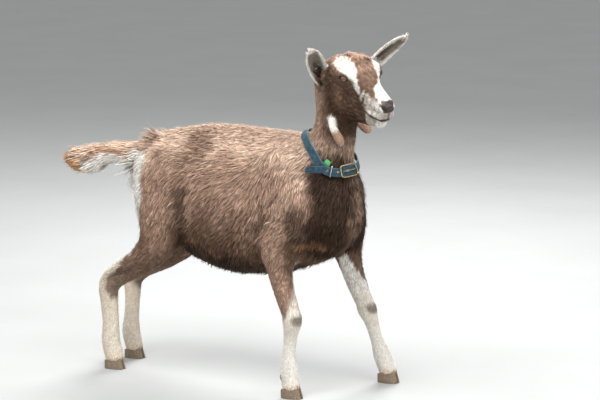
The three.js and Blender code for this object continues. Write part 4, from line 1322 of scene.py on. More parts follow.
# A lock's edges are painted a little darker: painted shade in the partings.
lock_light = by_lock(0.09) * (1.0 + 0.5 * on_head) - 0.06 * (edge - 0.4)
own_light = by_tuft(0.33) - 0.05
low_leg = leg_share(d_roots) * rise(250.0, 180.0, roots[:, 2])
body = 1.0 - np.maximum(on_head * (1.0 - 0.8 * crown_share(q_roots)), low_leg)
lightness = np.exp((0.5 + 0.5 * np.maximum(body, on_head)) * (lock_light + own_light))
# Each tuft is painted darker at its root, as painted shade down among the hairs, and lighter towards its
# tip.
shade_root = 1.0 - (0.16 + 0.32 * body) * (1.0 - 0.6 * rise(0.45, 0.75, root_colours[:, 2]))
shade_tip = 1.05 + 0.12 * body
gradient = shade_root[:, None] + (shade_tip - shade_root)[:, None] * ROWS**1.2
tip_tint = (0.08 * body * rise(0.02, 0.22, root_colours[:, 0]))[:, None] * ROWS**2
tuft_colours = root_colours[:, None] * gradient[:, :, None] * lightness[:, None, None]
tuft_colours += (HAIR["cream"] * lightness[:, None, None] - tuft_colours) * tip_tint[:, :, None]
tuft_colours = np.clip(tuft_colours, 0.0, 0.9)
half = 0.5 * wide[:, None] * WIDTHS * scatter.uniform(0.75, 1.25, (TUFTS, 1))
ridge = 0.32 * half
across = side[:, None] * half[..., None]
up_here = root_normals[:, None] * ridge[..., None]
rows = points[:, :2]
tents = np.stack([rows - across, rows + up_here, rows + across], axis=2).reshape(TUFTS, 6, 3)
tuft_points = np.concatenate([tents, points[:, 2:]], axis=1)
tuft_shades = np.concatenate([np.repeat(tuft_colours[:, :2], 3, axis=1), tuft_colours[:, 2:]], axis=1)
print("tuft points:", tuft_points.shape)

# %% [markdown]
# ## Finishes
#
# Real surfaces are never one even colour. `mottled` turns a place into an uneven value between two
# limits, and every finish uses it with its own grain. `dress` links such values into a shader,
# where they tint its colour, change its roughness and bump its surface.

# %% Shared node groups
def new_group(name, takes, gives):
    """An empty node group with its named sockets, and its two end nodes."""
    group = bpy.data.node_groups.new(name, "ShaderNodeTree")
    for label, kind in takes:
        group.interface.new_socket(label, in_out="INPUT", socket_type=kind)
    for label, kind in gives:
        group.interface.new_socket(label, in_out="OUTPUT", socket_type=kind)
    start, end = group.nodes.new("NodeGroupInput"), group.nodes.new("NodeGroupOutput")
    return group, start, end


def node(tree, kind, links=(), **settings):
    """Adds a node, sets its fields or sockets by name, and links (socket, source) pairs into it."""
    made = tree.nodes.new("ShaderNode" + kind)
    for key, value in settings.items():
        if hasattr(made, key):
            setattr(made, key, value)
        else:
            made.inputs[key.replace("_", " ")].default_value = value
    for socket, source in links:
        tree.links.new(source, made.inputs[socket])
    return made


NUMBER, PLACE, COLOUR = "NodeSocketFloat", "NodeSocketVector", "NodeSocketColor"
speckle, start, end = new_group(
    "speckle", [("Place", PLACE), ("Grain", NUMBER), ("Low", NUMBER), ("High", NUMBER)], [("Value", NUMBER)]
)
noise_links = [("Vector", start.outputs["Place"]), ("Scale", start.outputs["Grain"])]
noise = node(speckle, "TexNoise", noise_links, Detail=3.0)
spread = node(
    speckle, "MapRange",
    [("Value", noise.outputs["Fac"]), ("To Min", start.outputs["Low"]), ("To Max", start.outputs["High"])],
    From_Min=0.3, From_Max=0.7,
)
speckle.links.new(spread.outputs["Result"], end.inputs["Value"])

tinted, start, end = new_group("tinted", [("Color", COLOUR), ("Value", NUMBER)], [("Color", COLOUR)])
scale = node(tinted, "VectorMath", [(0, start.outputs["Color"])], operation="SCALE")
tinted.links.new(start.outputs["Value"], scale.inputs["Scale"])
tinted.links.new(scale.outputs["Vector"], end.inputs["Color"])


def use(tree, group, links=(), **values):
    """Places a node group with its own values."""
    made = tree.nodes.new("ShaderNodeGroup")
    made.node_tree = group
    for key, value in values.items():
        made.inputs[key].default_value = value
    for socket, source in links:
        tree.links.new(source, made.inputs[socket])
    return made


def new_finish(name, **sockets):
    """A material whose shader has the given constant values."""
    finish = bpy.data.materials.new(name)
    finish.use_nodes = True
    shader = finish.node_tree.nodes["Principled BSDF"]
    for key, value in sockets.items():
        shader.inputs[key.replace("_", " ")].default_value = value
    return finish, finish.node_tree, shader


def object_place(tree):
    """The place in the piece's own metres."""
    return node(tree, "TexCoord").outputs["Object"]


def mottled(tree, place, grain, low, high):
    """An uneven value from low to high, its spots about 1/grain across."""
    return use(tree, speckle, [("Place", place)], Grain=grain, Low=low, High=high).outputs["Value"]


def ramp(tree, value, dark, light):
    """A colour that goes from dark to light as the value goes from 0 to 1."""
    made = node(tree, "ValToRGB", [("Fac", value)])
    for element, colour in zip(made.color_ramp.elements, (dark, light)):
        element.color = (*colour, 1)
    return made.outputs["Color"]


def worked(tree, operation, a, b):
    """a and b, which is a socket or a number, put through one operation."""
    made = node(tree, "Math", [(0, a)], operation=operation)
    if isinstance(b, float):
        made.inputs[1].default_value = b
    else:
        tree.links.new(b, made.inputs[1])
    return made.outputs[0]


def dress(tree, shader, colour, shade=None, dull=None, relief=None):
    """Links a colour times a shade, a roughness (value, at 0, at 1) and a bump (height, strength, depth)."""
    if shade is not None:
        colour = use(tree, tinted, [("Color", colour), ("Value", shade)]).outputs["Color"]
    tree.links.new(colour, shader.inputs["Base Color"])
    if dull:
        spread = node(tree, "MapRange", [("Value", dull[0])], To_Min=dull[1], To_Max=dull[2])
        tree.links.new(spread.outputs["Result"], shader.inputs["Roughness"])
    if relief:
        bump = node(tree, "Bump", [("Height", relief[0])], Strength=relief[1], Distance=relief[2])
        tree.links.new(bump.outputs["Normal"], shader.inputs["Normal"])


# %% Coat and skin finishes
coat_finish, tree, shader = new_finish("coat hair", Roughness=0.66, Specular_IOR_Level=0.1)
painted = node(tree, "Attribute", attribute_name="coat").outputs["Color"]
streaks = mottled(tree, node(tree, "UVMap", uv_map="strands").outputs["UV"], 4.0, 0.84, 1.14)
dress(tree, shader, painted, streaks, relief=(streaks, 0.35, 0.0006))

skin_finish, tree, shader = new_finish("skin", Specular_IOR_Level=0.35, Sheen_Weight=0.08)
painted = node(tree, "Attribute", attribute_name="coat").outputs["Color"]
moist = node(tree, "Attribute", attribute_name="moist").outputs["Fac"]
place = object_place(tree)
fluff = mottled(tree, place, 620.0, 0.8, 1.16)
patchy = mottled(tree, place, 70.0, 0.92, 1.06)
pebbles = node(tree, "TexVoronoi", [("Vector", place)], Scale=620.0).outputs["Distance"]
surface = node(tree, "Mix", [("Factor", moist), ("A", fluff), ("B", pebbles)]).outputs["Result"]
shade = worked(tree, "MULTIPLY", fluff, patchy)
dress(tree, shader, painted, shade, (moist, 0.68, 0.3), (surface, 0.5, 0.0006))


def piece(name, mesh, finish, slot, *replaced):
    """A mesh as a piece of the model, with its finish and its place in the frame."""
    thing = new_object(name, mesh)
    mesh.materials.clear()
    mesh.materials.append(finish)
    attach(thing, "root")
    if replaced:
        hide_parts(*replaced)


# %% [markdown]
# ## One skin
#
# The skin stands for every solid of flesh, so no joint between them shows. Under deep hair it is
# painted darker, as the shade between hairs is. Its nose pad is moist.

# %% Skin piece
SKINNED = [name for name in nodes if not name.startswith(("collar", "eye")) and "claw" not in name]
d_skin, q_skin = parts_of(skin_points)
ear, wattle = ear_share(q_skin)
deep = (1.0 - head_share(d_skin)) * (1.0 - leg_share(d_skin)) * (1.0 - ear) * (1.0 - wattle)
shin = leg_share(d_skin) * (1.0 - ear)
on_head = head_share(d_skin) * (1.0 - ear) * (1.0 - wattle)
under = skin_colours * (1.0 - 0.45 * deep - 0.12 * shin - 0.16 * on_head)[:, None]
paint(skin_mesh, "coat", np.clip(under, 0, 1))
moist_share = nose_pad(q_skin) * head_share(d_skin)
layer = skin_mesh.attributes.new("moist", "FLOAT", "POINT")
layer.data.foreach_set("value", moist_share.astype(np.float32))
piece("skin", skin_mesh, skin_finish, "coat", *SKINNED)
print("skin stands for", len(SKINNED), "nodes")

# %% [markdown]
# ## The coat's pieces
#
# The tufts are shared out between fifteen pieces, each under the size that a mesh file keeps whole.
# Every piece has its own unwrap of the skin: two lengths that run along and round the part it grows
# on. A tuft takes a patch of that map about 0.003 across at its root, so a baked picture gives each
# tuft its own colour.

# %% Unwraps of the skin's own shape
WHOLE_TURN = 6.2832  # radians


def around(a, b):
    """The angle of (a, b) as a share of a whole turn."""
    return np.arctan2(a, b) / WHOLE_TURN + 0.5


def leg_unwrap(p, leg):
    """The angle round the leg's middle line, and height."""
    line = np.array(LEGS[leg], float)[::-1]
    cx, cy = (np.interp(p[:, 2], line[:, 2], line[:, j]) for j in (0, 1))
    return np.stack([around(p[:, 1] - cy, p[:, 0] - cx), p[:, 2] / 600.0], axis=1)


def ear_unwrap(q):
    """Four charts: each ear's two faces, and the wattles below them."""
    out = np.zeros((len(q), 2))
    left = q[:, 1] > 0
    for k, shape in enumerate(EARS):
        _, share, v, off = ear_distance(shape, q)
        chart = 0.5 * k + 0.25 * (off > 0)
        mine = left == (k == 1)
        out[mine] = np.stack([chart + 0.12 + 0.11 * v, 0.3 + 0.68 * share], axis=1)[mine]
    hanging = ear_share(q)[1] > 0.5
    low = np.stack([0.5 * left + 0.25 + 0.01 * q[:, 0] / 3.0, 0.28 + 0.002 * q[:, 2]], axis=1)
    out[hanging] = low[hanging]
    return out


def unwrap(name, p, q):
    """Two measures for each point of a coat piece: along its part, and the angle round its middle line."""
    x, y, z = p.T
    part = name.removeprefix("coat_")
    if part in LEGS:
        return leg_unwrap(p, part)
    if part == "ears":
        return ear_unwrap(q)
    if part.startswith("head"):
        pair = q[:, 0] / 250.0, around(q[:, 1], q[:, 2] + 40.0)
    elif part == "neck":
        pair = around(y, x - 270.0), z / 900.0
    elif part == "tail":
        pair = x / 500.0, around(y, z - 560.0)
    else:
        pair = x / 500.0, around(y, z - 430.0)
    return np.stack(pair, axis=1)


ear, wattle = ear_share(q_roots)
x, y, z = roots.T
sides = np.array(["_right", "_left"], dtype=object)
side_of = sides[(y > 0.0).astype(int)]
stretch = np.array(["coat_thigh", "coat_flank", "coat_shoulder"], dtype=object)
where_is = stretch[np.digitize(x, (-95.0, 95.0), right=True)] + side_of
where_is[(d_roots["neck"] < d_roots["barrel"]) & (z > 520.0)] = "coat_neck"
on_leg = leg_share(d_roots) > 0.5
where_is[on_leg] = (np.where(x > 0.0, "coat_foreleg", "coat_hindleg").astype(object) + side_of)[on_leg]
where_is[tail_share(d_roots) > 0.5] = "coat_tail"
on_head = head_share(d_roots) > 0.5
where_is[on_head] = "coat_head" + sides[(q_roots[on_head, 1] > 0.0).astype(int)]
where_is[np.maximum(ear, wattle) > 0.5] = "coat_ears"

# %% Coat pieces
ACROSS = np.array([0.0, 0.5, 1.0] * 2 + [0.5])
ALONG = np.array([ROWS[0]] * 3 + [ROWS[1]] * 3 + [1.0])
TRIANGLES = np.array([[0, 1, 4], [0, 4, 3], [1, 2, 5], [1, 5, 4], [3, 4, 6], [4, 5, 6]])
PATCH = 0.003  # the size of a tuft's own patch of the map
strand = scatter.uniform(0.0, 40.0, (TUFTS, 1))
for name in sorted(set(where_is)):
    mine = np.flatnonzero(where_is == name)
    chart = unwrap(name, roots[mine], q_roots[mine])
    chart = (chart - chart.min(0)) / np.maximum(np.ptp(chart, axis=0), 1e-6) * (1.0 - 2 * PATCH) + PATCH
    patch = np.stack([ACROSS - 0.5, ALONG - 0.5], axis=1) * PATCH
    bake = (chart[:, None] + patch).reshape(-1, 2)
    fine = np.stack([strand[mine] + ACROSS, strand[mine] + 0.35 * ALONG], axis=2).reshape(-1, 2)
    faces = (TRIANGLES + len(ACROSS) * np.arange(len(mine))[:, None, None]).reshape(-1, 3)
    mesh = mesh_of(name, tuft_points[mine].reshape(-1, 3), faces)
    paint(mesh, "coat", tuft_shades[mine].reshape(-1, 3))
    add_uv(mesh, "OFBake", bake)
    add_uv(mesh, "strands", fine)
    piece(name, mesh, coat_finish, "coat")
    print(name, len(faces), "triangles")

# %% [markdown]
# ## Closed shapes from rings of points
#
# The small hard parts are rings of points carried along a path: row after row, each ring closed
# round, and either the last row meets the first or both ends are closed to a middle point. Where a
# shape comes out inside out its signed volume is negative, and its faces are turned.

# %% Ring helpers
def angles(count, shift=0.0):
    """Evenly spaced angles of one turn."""
    return (np.arange(count) + shift) * 2 * np.pi / count


def ring_faces(rows, columns, closed):
    """Two triangles a cell, and each corner's row before it wraps round."""
    r, c = np.meshgrid(np.arange(rows if closed else rows - 1), np.arange(columns), indexing="ij")
    far = (c + 1) % columns
    corners = [[(r, c), (r, far), (r + 1, far)], [(r, c), (r + 1, far), (r + 1, c)]]
    faces = [np.stack([(row % rows) * columns + column for row, column in half], -1) for half in corners]
    rowed = [np.stack([row for row, column in half], -1) for half in corners]
    return np.vstack([f.reshape(-1, 3) for f in faces]), np.vstack([f.reshape(-1, 3) for f in rowed])


def closed_shape(rings, closed):
    """Points, outward faces and unwrapped corner rows of a hoop or of a capped run of rings."""
    rows, columns = rings.shape[:2]
    points = rings.reshape(-1, 3)
    faces, rowed = ring_faces(rows, columns, closed)
    if not closed:
        c = np.arange(columns)
        last = (rows - 1) * columns
        caps = [np.stack([c * 0 + len(points), (c + 1) % columns, c], 1)]
        caps.append(np.stack([c * 0 + len(points) + 1, last + c, last + (c + 1) % columns], 1))
        faces = np.vstack([faces, *caps])
        rowed = np.vstack([rowed, np.zeros((columns, 3)), np.full((columns, 3), rows - 1)])
        points = np.vstack([points, rings[0].mean(0), rings[-1].mean(0)])
    a, b, c = (points[faces[:, k]] - points.mean(0) for k in range(3))
    if np.einsum("ij,ij->", a, np.cross(b, c)) < 0:
        faces, rowed = faces[:, ::-1], rowed[:, ::-1]
    return points, faces, rowed


def joined_shapes(shapes):
    """Several shapes as one: their points end to end, their faces moved along."""
    starts = np.cumsum([0] + [len(shape[0]) for shape in shapes[:-1]])
    return np.vstack([shape[0] for shape in shapes]), np.vstack([s[1] + k for s, k in zip(shapes, starts)])


def wire_shape(path, radius, closed, facing, sides=14):
    """A round wire: rings radius wide, square to the path, beginning from the side that faces `facing`."""
    path = np.asarray(path, float)
    ahead = np.roll(path, -1, 0) - np.roll(path, 1, 0)
    if not closed:
        ahead[0], ahead[-1] = path[1] - path[0], path[-1] - path[-2]
    t = unit(ahead)
    first = unit(np.cross(t, facing))
    second = np.cross(t, first)
    a = angles(sides)[:, None]
    spokes = np.cos(a) * first[:, None] + np.sin(a) * second[:, None]
    return closed_shape(path[:, None] + radius * spokes, closed)


# %% [markdown]
# ## Eyes
#
# A goat's eye is a glossy ball with an amber iris and a level slot for a pupil. The ball is a
# sphere whose front swells a little where the cornea is. The iris has fine spokes and a dark rim,
# painted by angle from the gaze.

# %% Eyeballs
IRIS = {"edge": 0.60, "rim": 0.07, "pupil": (0.37, 0.115), "bulge": 0.9}


def eyeball(side):
    """Rings at angle u from the gaze: radius R + bulge e^-(u / 0.45)^2, and colours by that angle."""
    gaze, long, high = eye_axes(side)
    u = np.pi * (np.arange(1, 80) / 80.0) ** 1.5
    v = angles(112)
    r = EYE["radius"] + IRIS["bulge"] * np.exp(-((u / 0.45) ** 2)) - 0.05
    flat = np.cos(v)[:, None] * long + np.sin(v)[:, None] * high
    rings = (r * np.cos(u))[:, None, None] * gaze + (r * np.sin(u))[:, None, None] * flat
    points, faces, _ = closed_shape(rings, False)
    way = unit(points)
    a, b, ahead = way @ long, way @ high, way @ gaze
    angle = np.arccos(np.clip(ahead, -1, 1))
    turn = np.arctan2(b, a)
    spokes = 0.5 + 0.5 * np.sin(37 * turn + 5.0 * np.sin(9 * turn + 14.0 * angle))
    c = mix(rgb(168, 116, 54), rgb(104, 64, 30), 0.6 * spokes)
    c = mix(c, rgb(66, 38, 18), rise(0.34, IRIS["edge"], angle) * 0.65)
    wide, tall = IRIS["pupil"]
    slot = np.maximum(np.abs(a) - wide, 0.0) ** 2 + np.maximum(np.abs(b) - tall * 0.6, 0.0) ** 2
    c = mix(c, rgb(14, 12, 14), rise(0.062, 0.045, np.sqrt(slot)) * (ahead > 0))
    c = mix(c, rgb(30, 20, 14), rise(IRIS["edge"] - IRIS["rim"], IRIS["edge"], angle))
    c = mix(c, rgb(92, 74, 62), rise(IRIS["edge"] + 0.05, IRIS["edge"] + 0.28, angle))
    return out_of_head(points + both(side, EYE["place"])), faces, c


eye_finish, tree, shader = new_finish(
    "wet eye", Roughness=0.16, Coat_Weight=1.0, Coat_Roughness=0.02, Specular_IOR_Level=0.6
)
painted = node(tree, "Attribute", attribute_name="iris").outputs["Color"]
dress(tree, shader, painted, mottled(tree, object_place(tree), 1800.0, 0.85, 1.15))
for side, name in ((1, "eye_left"), (-1, "eye_right")):
    points, faces, colours = eyeball(side)
    mesh = mesh_of(name + "_ball", points, faces)
    paint(mesh, "iris", colours)
    piece(name + "_ball", mesh, eye_finish, "eye", name)
print("eyes:", len(points), "points each")

# %% [markdown]
# ## Hooves and dewclaws
#
# Each foot has two claws and, behind the fetlock, two small dewclaws. A claw's outline is drawn
# once, as a smooth closed curve, and carried up the wall: it narrows and leans back, and faint
# rings show how the horn grew.

# %% Claws
CLAW = [[-23, 1.5], [4, 1.5], [26, 3], [24, 9], [10, 17], [-8, 20], [-20, 17], [-25, 9]]
CLAW_WALL = [  # height, scale, shift, slope
    (0.0, 1.0, 3.0, 0.0), (8.0, 0.98, 2.0, 0.0), (25.0, 0.84, -2.0, 0.3),
]


def claw_outline(count=44):
    """Catmull-Rom curve round the eight corners, closed."""
    s = np.array(CLAW, float)
    a, b, c, d = (np.roll(s, -k, axis=0)[:, None] for k in (-1, 0, 1, 2))
    t = (np.arange(count // 4) / (count // 4))[None, :, None]
    return catmull_rom(a, b, c, d, t).reshape(-1, 2)


def claw_shape(foot, part):
    """Rings of the outline: scale and shift by height, drawn in at the sole's edge, with rings of growth."""
    outline = claw_outline()
    h = np.concatenate([[0.0, 0.0, 0.5, 1.6], np.linspace(3.5, 25.0, 22)])
    wall = np.array(CLAW_WALL)
    scale, shift, slope = (np.interp(h, wall[:, 0], wall[:, k]) for k in (1, 2, 3))
    inset = np.array([0.8, 0.965, 0.985, 1.0] + [1.0] * 22) - 0.006 * (1 + np.sin(h * 1.9)) * (h > 2)
    centre = outline.mean(0)
    x = centre[0] + (outline[:, 0] - centre[0]) * inset[:, None]
    y = centre[1] + (outline[:, 1] - centre[1]) * inset[:, None]
    out = np.stack([foot[0] + shift[:, None] + x * scale[:, None],
                    foot[1] + part * y * (0.35 + 0.65 * scale[:, None]),
                    h[:, None] + slope[:, None] * x * scale[:, None]], axis=2)
    return closed_shape(out, False)[:2]


def dewclaw_shape(foot, part, stations):
    """A drop: rings of radius 5.5 sin(u)^0.8, flattened, hanging behind the pastern and pointing down."""
    shank = np.array(stations[-2], float)
    u = np.linspace(0.12, np.pi - 0.12, 14)
    v = angles(18)
    r = 5.5 * np.sin(u) ** 0.8
    middle = np.array([0.55 * foot[0] + 0.45 * shank[0] - 16.0, foot[1] + part * 9.0, 45.0])
    drop = np.stack([-0.35 * np.cos(u), 0 * u, -np.cos(u)], axis=1) * 9.5
    ring = np.stack([np.cos(v), 0.9 * np.sin(v), 0 * v], axis=1)
    return closed_shape(middle + drop[:, None] * [1, 1, -1] + r[:, None, None] * ring, False)[:2]


horn, tree, shader = new_finish("hoof horn", Specular_IOR_Level=0.4)
place = object_place(tree)
drawn_out = node(tree, "Mapping", [("Vector", place)], Scale=(1.0, 1.0, 0.25)).outputs["Vector"]
grain = mottled(tree, drawn_out, 520.0, 0.0, 1.0)
soil = mottled(tree, place, 90.0, 0.0, 1.0)
clean = ramp(tree, grain, rgb(82, 70, 60), rgb(150, 134, 114))
dusty = node(tree, "Mix", [(0, soil), (6, clean)], data_type="RGBA")
dusty.inputs[7].default_value = (*rgb(120, 102, 82), 1)
dress(tree, shader, dusty.outputs[2], dull=(soil, 0.42, 0.7), relief=(grain, 0.4, 0.0005))
for name, stations in LEGS.items():
    foot = stations[-1]
    shapes = [claw_shape(foot, part) for part in (1, -1)]
    shapes += [dewclaw_shape(foot, part, stations) for part in (1, -1)]
    mesh = mesh_of(name + "_hoof", *joined_shapes(shapes))
    piece(name + "_hoof", mesh, horn, "hoof", name + "_claw_left", name + "_claw_right")
print("hooves:", len(LEGS), "feet")

# %% [markdown]
# ## Collar
#
# The strap runs round the neck, higher at the nape. Places on it are given by three measures: an
# angle round the neck from the throat towards the goat's right, a height down the strap's width,
# and a lift off the neck. A table of the neck's surface and its axes is worked out once, by halving
# the distance to it along rays.

# %% The strap's own measures
COLLAR = {"centre": (274.0, -8.0), "width": 20.0, "thickness": 3.0}
COLLAR_HEIGHTS = [
    [-180, 618], [-140, 604], [-100, 582], [-60, 562], [-38, 552], [-10, 544], [11, 540],
    [44, 535], [73, 538], [98, 551], [114, 571], [130, 588], [150, 606], [180, 618],
]
INNER, GAP, SLACK = 3.0, 0.5, 0.8  # the strap's lift, room between hard parts, room under the free end
OUTER = INNER + COLLAR["thickness"]
TOP = OUTER + SLACK + COLLAR["thickness"]
PER_MM = 1.15  # degrees round the neck for a millimetre of strap
TABLE_STEP = 1.5  # degrees between two rows of the table
HALVINGS = 24


def strap_height(degrees):
    """The strap's middle line: smooth steps between the heights above."""
    stops = np.array(COLLAR_HEIGHTS, float)
    turned = (degrees + 180.0) % 360.0 - 180.0
    k = np.clip(np.searchsorted(stops[:, 0], turned, side="right") - 1, 0, len(stops) - 2)
    t = (turned - stops[k, 0]) / (stops[k + 1, 0] - stops[k, 0])
    return stops[k, 1] + (stops[k + 1, 1] - stops[k, 1]) * t * t * (3 - 2 * t)


def on_neck(degrees):
    """Where rays out of the collar's middle leave the solid, by halving the stretch that crosses it."""
    a = np.radians(degrees)
    x, y = COLLAR["centre"]
    axis = np.stack([0 * a + x, 0 * a + y, strap_height(degrees)], axis=1)
    ray = np.stack([np.cos(a), -np.sin(a), 0 * a], axis=1)
    near, far = 0 * a + 10.0, 0 * a + 160.0
    for _ in range(HALVINGS):
        middle = (near + far) / 2
        inside = solid_distance(axis + ray * middle[:, None]) < 0
        near, far = np.where(inside, middle, near), np.where(inside, far, middle)
    return axis + ray * near[:, None]


here = on_neck(np.arange(0.0, 360.0, TABLE_STEP))
round_way = unit(np.roll(here, -6, axis=0) - np.roll(here, 6, axis=0))
slope = np.stack([solid_distance(here + d) - solid_distance(here - d) for d in 6.0 * np.eye(3)], axis=1)
out_way = unit(slope - round_way * np.sum(slope * round_way, axis=1, keepdims=True))
COLLAR_TABLE = np.hstack([here, out_way, np.cross(out_way, round_way)])
shifts = np.arange(-12, 13)
weights = np.exp(-((shifts / 5.0) ** 2))
weights /= weights.sum()
COLLAR_TABLE = sum(w * np.roll(COLLAR_TABLE, k, axis=0) for k, w in zip(shifts, weights))
COLLAR_TABLE[:, 3:6], COLLAR_TABLE[:, 6:] = unit(COLLAR_TABLE[:, 3:6]), unit(COLLAR_TABLE[:, 6:])
COLLAR_TABLE = np.vstack([COLLAR_TABLE, COLLAR_TABLE[:1]])


def collar_place(degrees, height, lift):
    """The neck's point at an angle, plus height down the strap and lift off the neck, from the table."""
    at = np.mod(degrees, 360.0) / TABLE_STEP
    k = np.floor(at).astype(int)
    t = (at - k)[..., None]
    row = COLLAR_TABLE[k] * (1 - t) + COLLAR_TABLE[k + 1] * t
    height, lift = np.asarray(height)[..., None], np.asarray(lift)[..., None]
    return row[..., :3] + row[..., 6:] * height + row[..., 3:6] * lift


def strap_section(width, low, high, count=28):
    """A flat section with rounded edges: |x|^5 + |y|^2.6 = 1, as height across and lift."""
    c, s = np.cos(angles(count)), np.sin(angles(count))
    return (0.5 * width * np.sign(c) * np.abs(c) ** 0.4,
            (low + high) / 2 + 0.5 * (high - low) * np.sign(s) * np.abs(s) ** 0.75)


# %% Webbing finish
webbing, tree, shader = new_finish("webbing", Specular_IOR_Level=0.25, Sheen_Weight=0.1)
weave = node(tree, "UVMap", uv_map="weave").outputs["UV"]
along, over = node(tree, "SeparateXYZ", [("Vector", weave)]).outputs[:2]


def wave_of(tree, source, rate):
    """sin(rate x), from -1 to 1."""
    return node(tree, "Math", [(0, worked(tree, "MULTIPLY", source, rate))], operation="SINE").outputs[0]


slants = [wave_of(tree, worked(tree, sign, along, over), 4.2) for sign in ("ADD", "SUBTRACT")]
threads = worked(tree, "MULTIPLY", *slants)
ribs = worked(tree, "ADD", threads, wave_of(tree, over, 1.57))
place = object_place(tree)
worn = mottled(tree, place, 130.0, 0.0, 0.35)
fuzz = mottled(tree, place, 1100.0, 0.82, 1.15)
rim = node(tree, "Math", [(0, over)], operation="ABSOLUTE").outputs[0]
rim = node(tree, "MapRange", [("Value", rim)], From_Min=7.2, From_Max=9.4, To_Min=0.0, To_Max=0.75)
faded = ramp(tree, worked(tree, "MAXIMUM", rim.outputs["Result"], worn), rgb(22, 48, 62), rgb(84, 120, 134))
light = node(tree, "MapRange", [("Value", threads)], From_Min=-1.0, To_Min=0.78, To_Max=1.12)
shade = worked(tree, "MULTIPLY", light.outputs["Result"], fuzz)
dress(tree, shader, faded, shade, (worn, 0.7, 0.9), (ribs, 0.5, 0.0004))


# %% Strap and free end
def woven_piece(name, rings, across, step, closed, *replaced):
    """A strap with a weave map in millimetres: along its length by row, across by the section."""
    points, faces, rowed = closed_shape(rings, closed)
    mesh = mesh_of(name, points, faces)
    side_to_side = np.concatenate([np.tile(across, len(rings)), [0.0, 0.0]])[: len(points)]
    layer = mesh.uv_layers.new(name="weave")
    uv = np.stack([rowed.ravel() * step, side_to_side[faces.ravel()]], axis=1)
    layer.data.foreach_set("uv", uv.astype(np.float32).ravel())
    piece(name, mesh, webbing, "webbing", *replaced)


ROW = 2.0  # degrees between two sections of the strap
degrees = np.arange(0.0, 360.0, ROW)
across, lift = strap_section(COLLAR["width"], INNER, OUTER)
rings = collar_place(degrees[:, None], across, lift)
woven_piece("strap", rings, across, ROW / PER_MM, True, "collar_strap")

FREE_END = {"from": -10.0, "leaves": 80.0, "tip": (251.0, -89.0, 545.0), "width": 18.0}
degrees = np.arange(FREE_END["from"], FREE_END["leaves"] + 1.0, ROW)
across, lift = strap_section(FREE_END["width"], OUTER + SLACK, TOP)
rings = collar_place(degrees[:, None], across, lift)
middle = rings[-1].mean(0)
loose = np.linspace(0.06, 1.0, 18)[:, None, None]
narrow = np.where(loose < 0.92, 1.0, np.sqrt(np.clip(1.0 - ((loose - 0.92) / 0.11) ** 2, 0.5, 1.0)))
loose_rings = middle + (rings[-1] - middle) * narrow + (np.array(FREE_END["tip"]) - middle) * loose
woven_piece("free_end", np.concatenate([rings, loose_rings]), across, ROW / PER_MM, False, "collar_free_end")
print("strap and free end: sections of", len(across), "points")

# %% [markdown]
# ## Buckle, keeper, eyelets and tag
#
# The buckle is a bent wire frame with a tongue over its middle. Behind it a steel ring holds the
# free end down, and small eyelets line the holes. A plain tag is folded over the strap's upper
# edge. Metal is worn bright in places and dull in others, so its tone and its roughness both vary.

# %% Metal and tag finishes
def metal(name, dark, bright, rough):
    """A worn metal: where it is bright it is also smooth."""
    finish, tree, shader = new_finish(name, Metallic=1.0)
    wear = mottled(tree, object_place(tree), 300.0, 0.0, 1.0)
    tone = ramp(tree, wear, dark, bright)
    dress(tree, shader, tone, dull=(wear, rough + 0.2, rough), relief=(wear, 0.25, 0.0003))
    return finish


brass = metal("old brass", rgb(92, 80, 58), rgb(182, 170, 138), 0.3)
steel = metal("steel ring", rgb(120, 118, 112), rgb(222, 220, 214), 0.2)
plastic, tree, shader = new_finish("green tag", Specular_IOR_Level=0.4)
place = object_place(tree)
scuffs = mottled(tree, place, 420.0, 0.85, 1.1)
sun = mottled(tree, place, 60.0, 0.0, 1.0)
greens = ramp(tree, sun, rgb(50, 136, 76), rgb(84, 168, 104))
dress(tree, shader, greens, scuffs, (sun, 0.35, 0.6), (scuffs, 0.2, 0.0003))

# %% Buckle, keeper and eyelets
BUCKLE = {"angle": 20.0, "span": 34.0, "height": 27.0, "wire": 1.9}
KEEPER = {"angle": 63.0, "height": 25.0, "wire": 1.1}
EYELETS = {"angles": (22.0, 46.0, 73.0), "radius": 2.8, "hole": 1.2}
TONGUE = {"rise": 1.0, "wire": 1.3}


def rounded(count, power):
    """A square loop with round corners: cos and sin, each to a power with its sign kept."""
    a = angles(count, 0.5)
    return [np.sign(f) * np.abs(f) ** power for f in (np.cos(a), np.sin(a))]


def hard_piece(name, shape, finish, slot, replaced):
    """A closed shape as a piece that stands for one node."""
    piece(name, mesh_of(name, *shape[:2]), finish, slot, replaced)


def neck_axes(degrees):
    """The ways off the neck and down the strap at an angle, from the table."""
    row = COLLAR_TABLE[int(degrees / TABLE_STEP)]
    return row[3:6], row[6:]


frame_lift = TOP + GAP + BUCKLE["wire"]
frame_reach = BUCKLE["span"] / 2 * PER_MM
c, s = rounded(72, 0.36)
off_neck = neck_axes(BUCKLE["angle"])[0]
path = collar_place(BUCKLE["angle"] + frame_reach * c, BUCKLE["height"] / 2 * s, frame_lift)
frame_wire = wire_shape(path, BUCKLE["wire"], True, off_neck)
hard_piece("buckle_frame", frame_wire, brass, "buckle", "collar_buckle_frame")
pin = np.linspace(-1.0, 1.0, 24)
pin_reach = frame_reach - (2 * BUCKLE["wire"] + GAP) * PER_MM
path = collar_place(BUCKLE["angle"] + pin * pin_reach, 0.0, frame_lift + TONGUE["rise"])
tongue_wire = wire_shape(path, TONGUE["wire"], False, off_neck)
hard_piece("buckle_tongue", tongue_wire, brass, "buckle", "collar_buckle_tongue")
c, s = rounded(60, 0.3)
low, high = INNER - GAP - KEEPER["wire"], TOP + GAP + KEEPER["wire"]
path = collar_place(KEEPER["angle"], KEEPER["height"] / 2 * c, (low + high) / 2 + (high - low) / 2 * s)
around_way = np.cross(*neck_axes(KEEPER["angle"]))
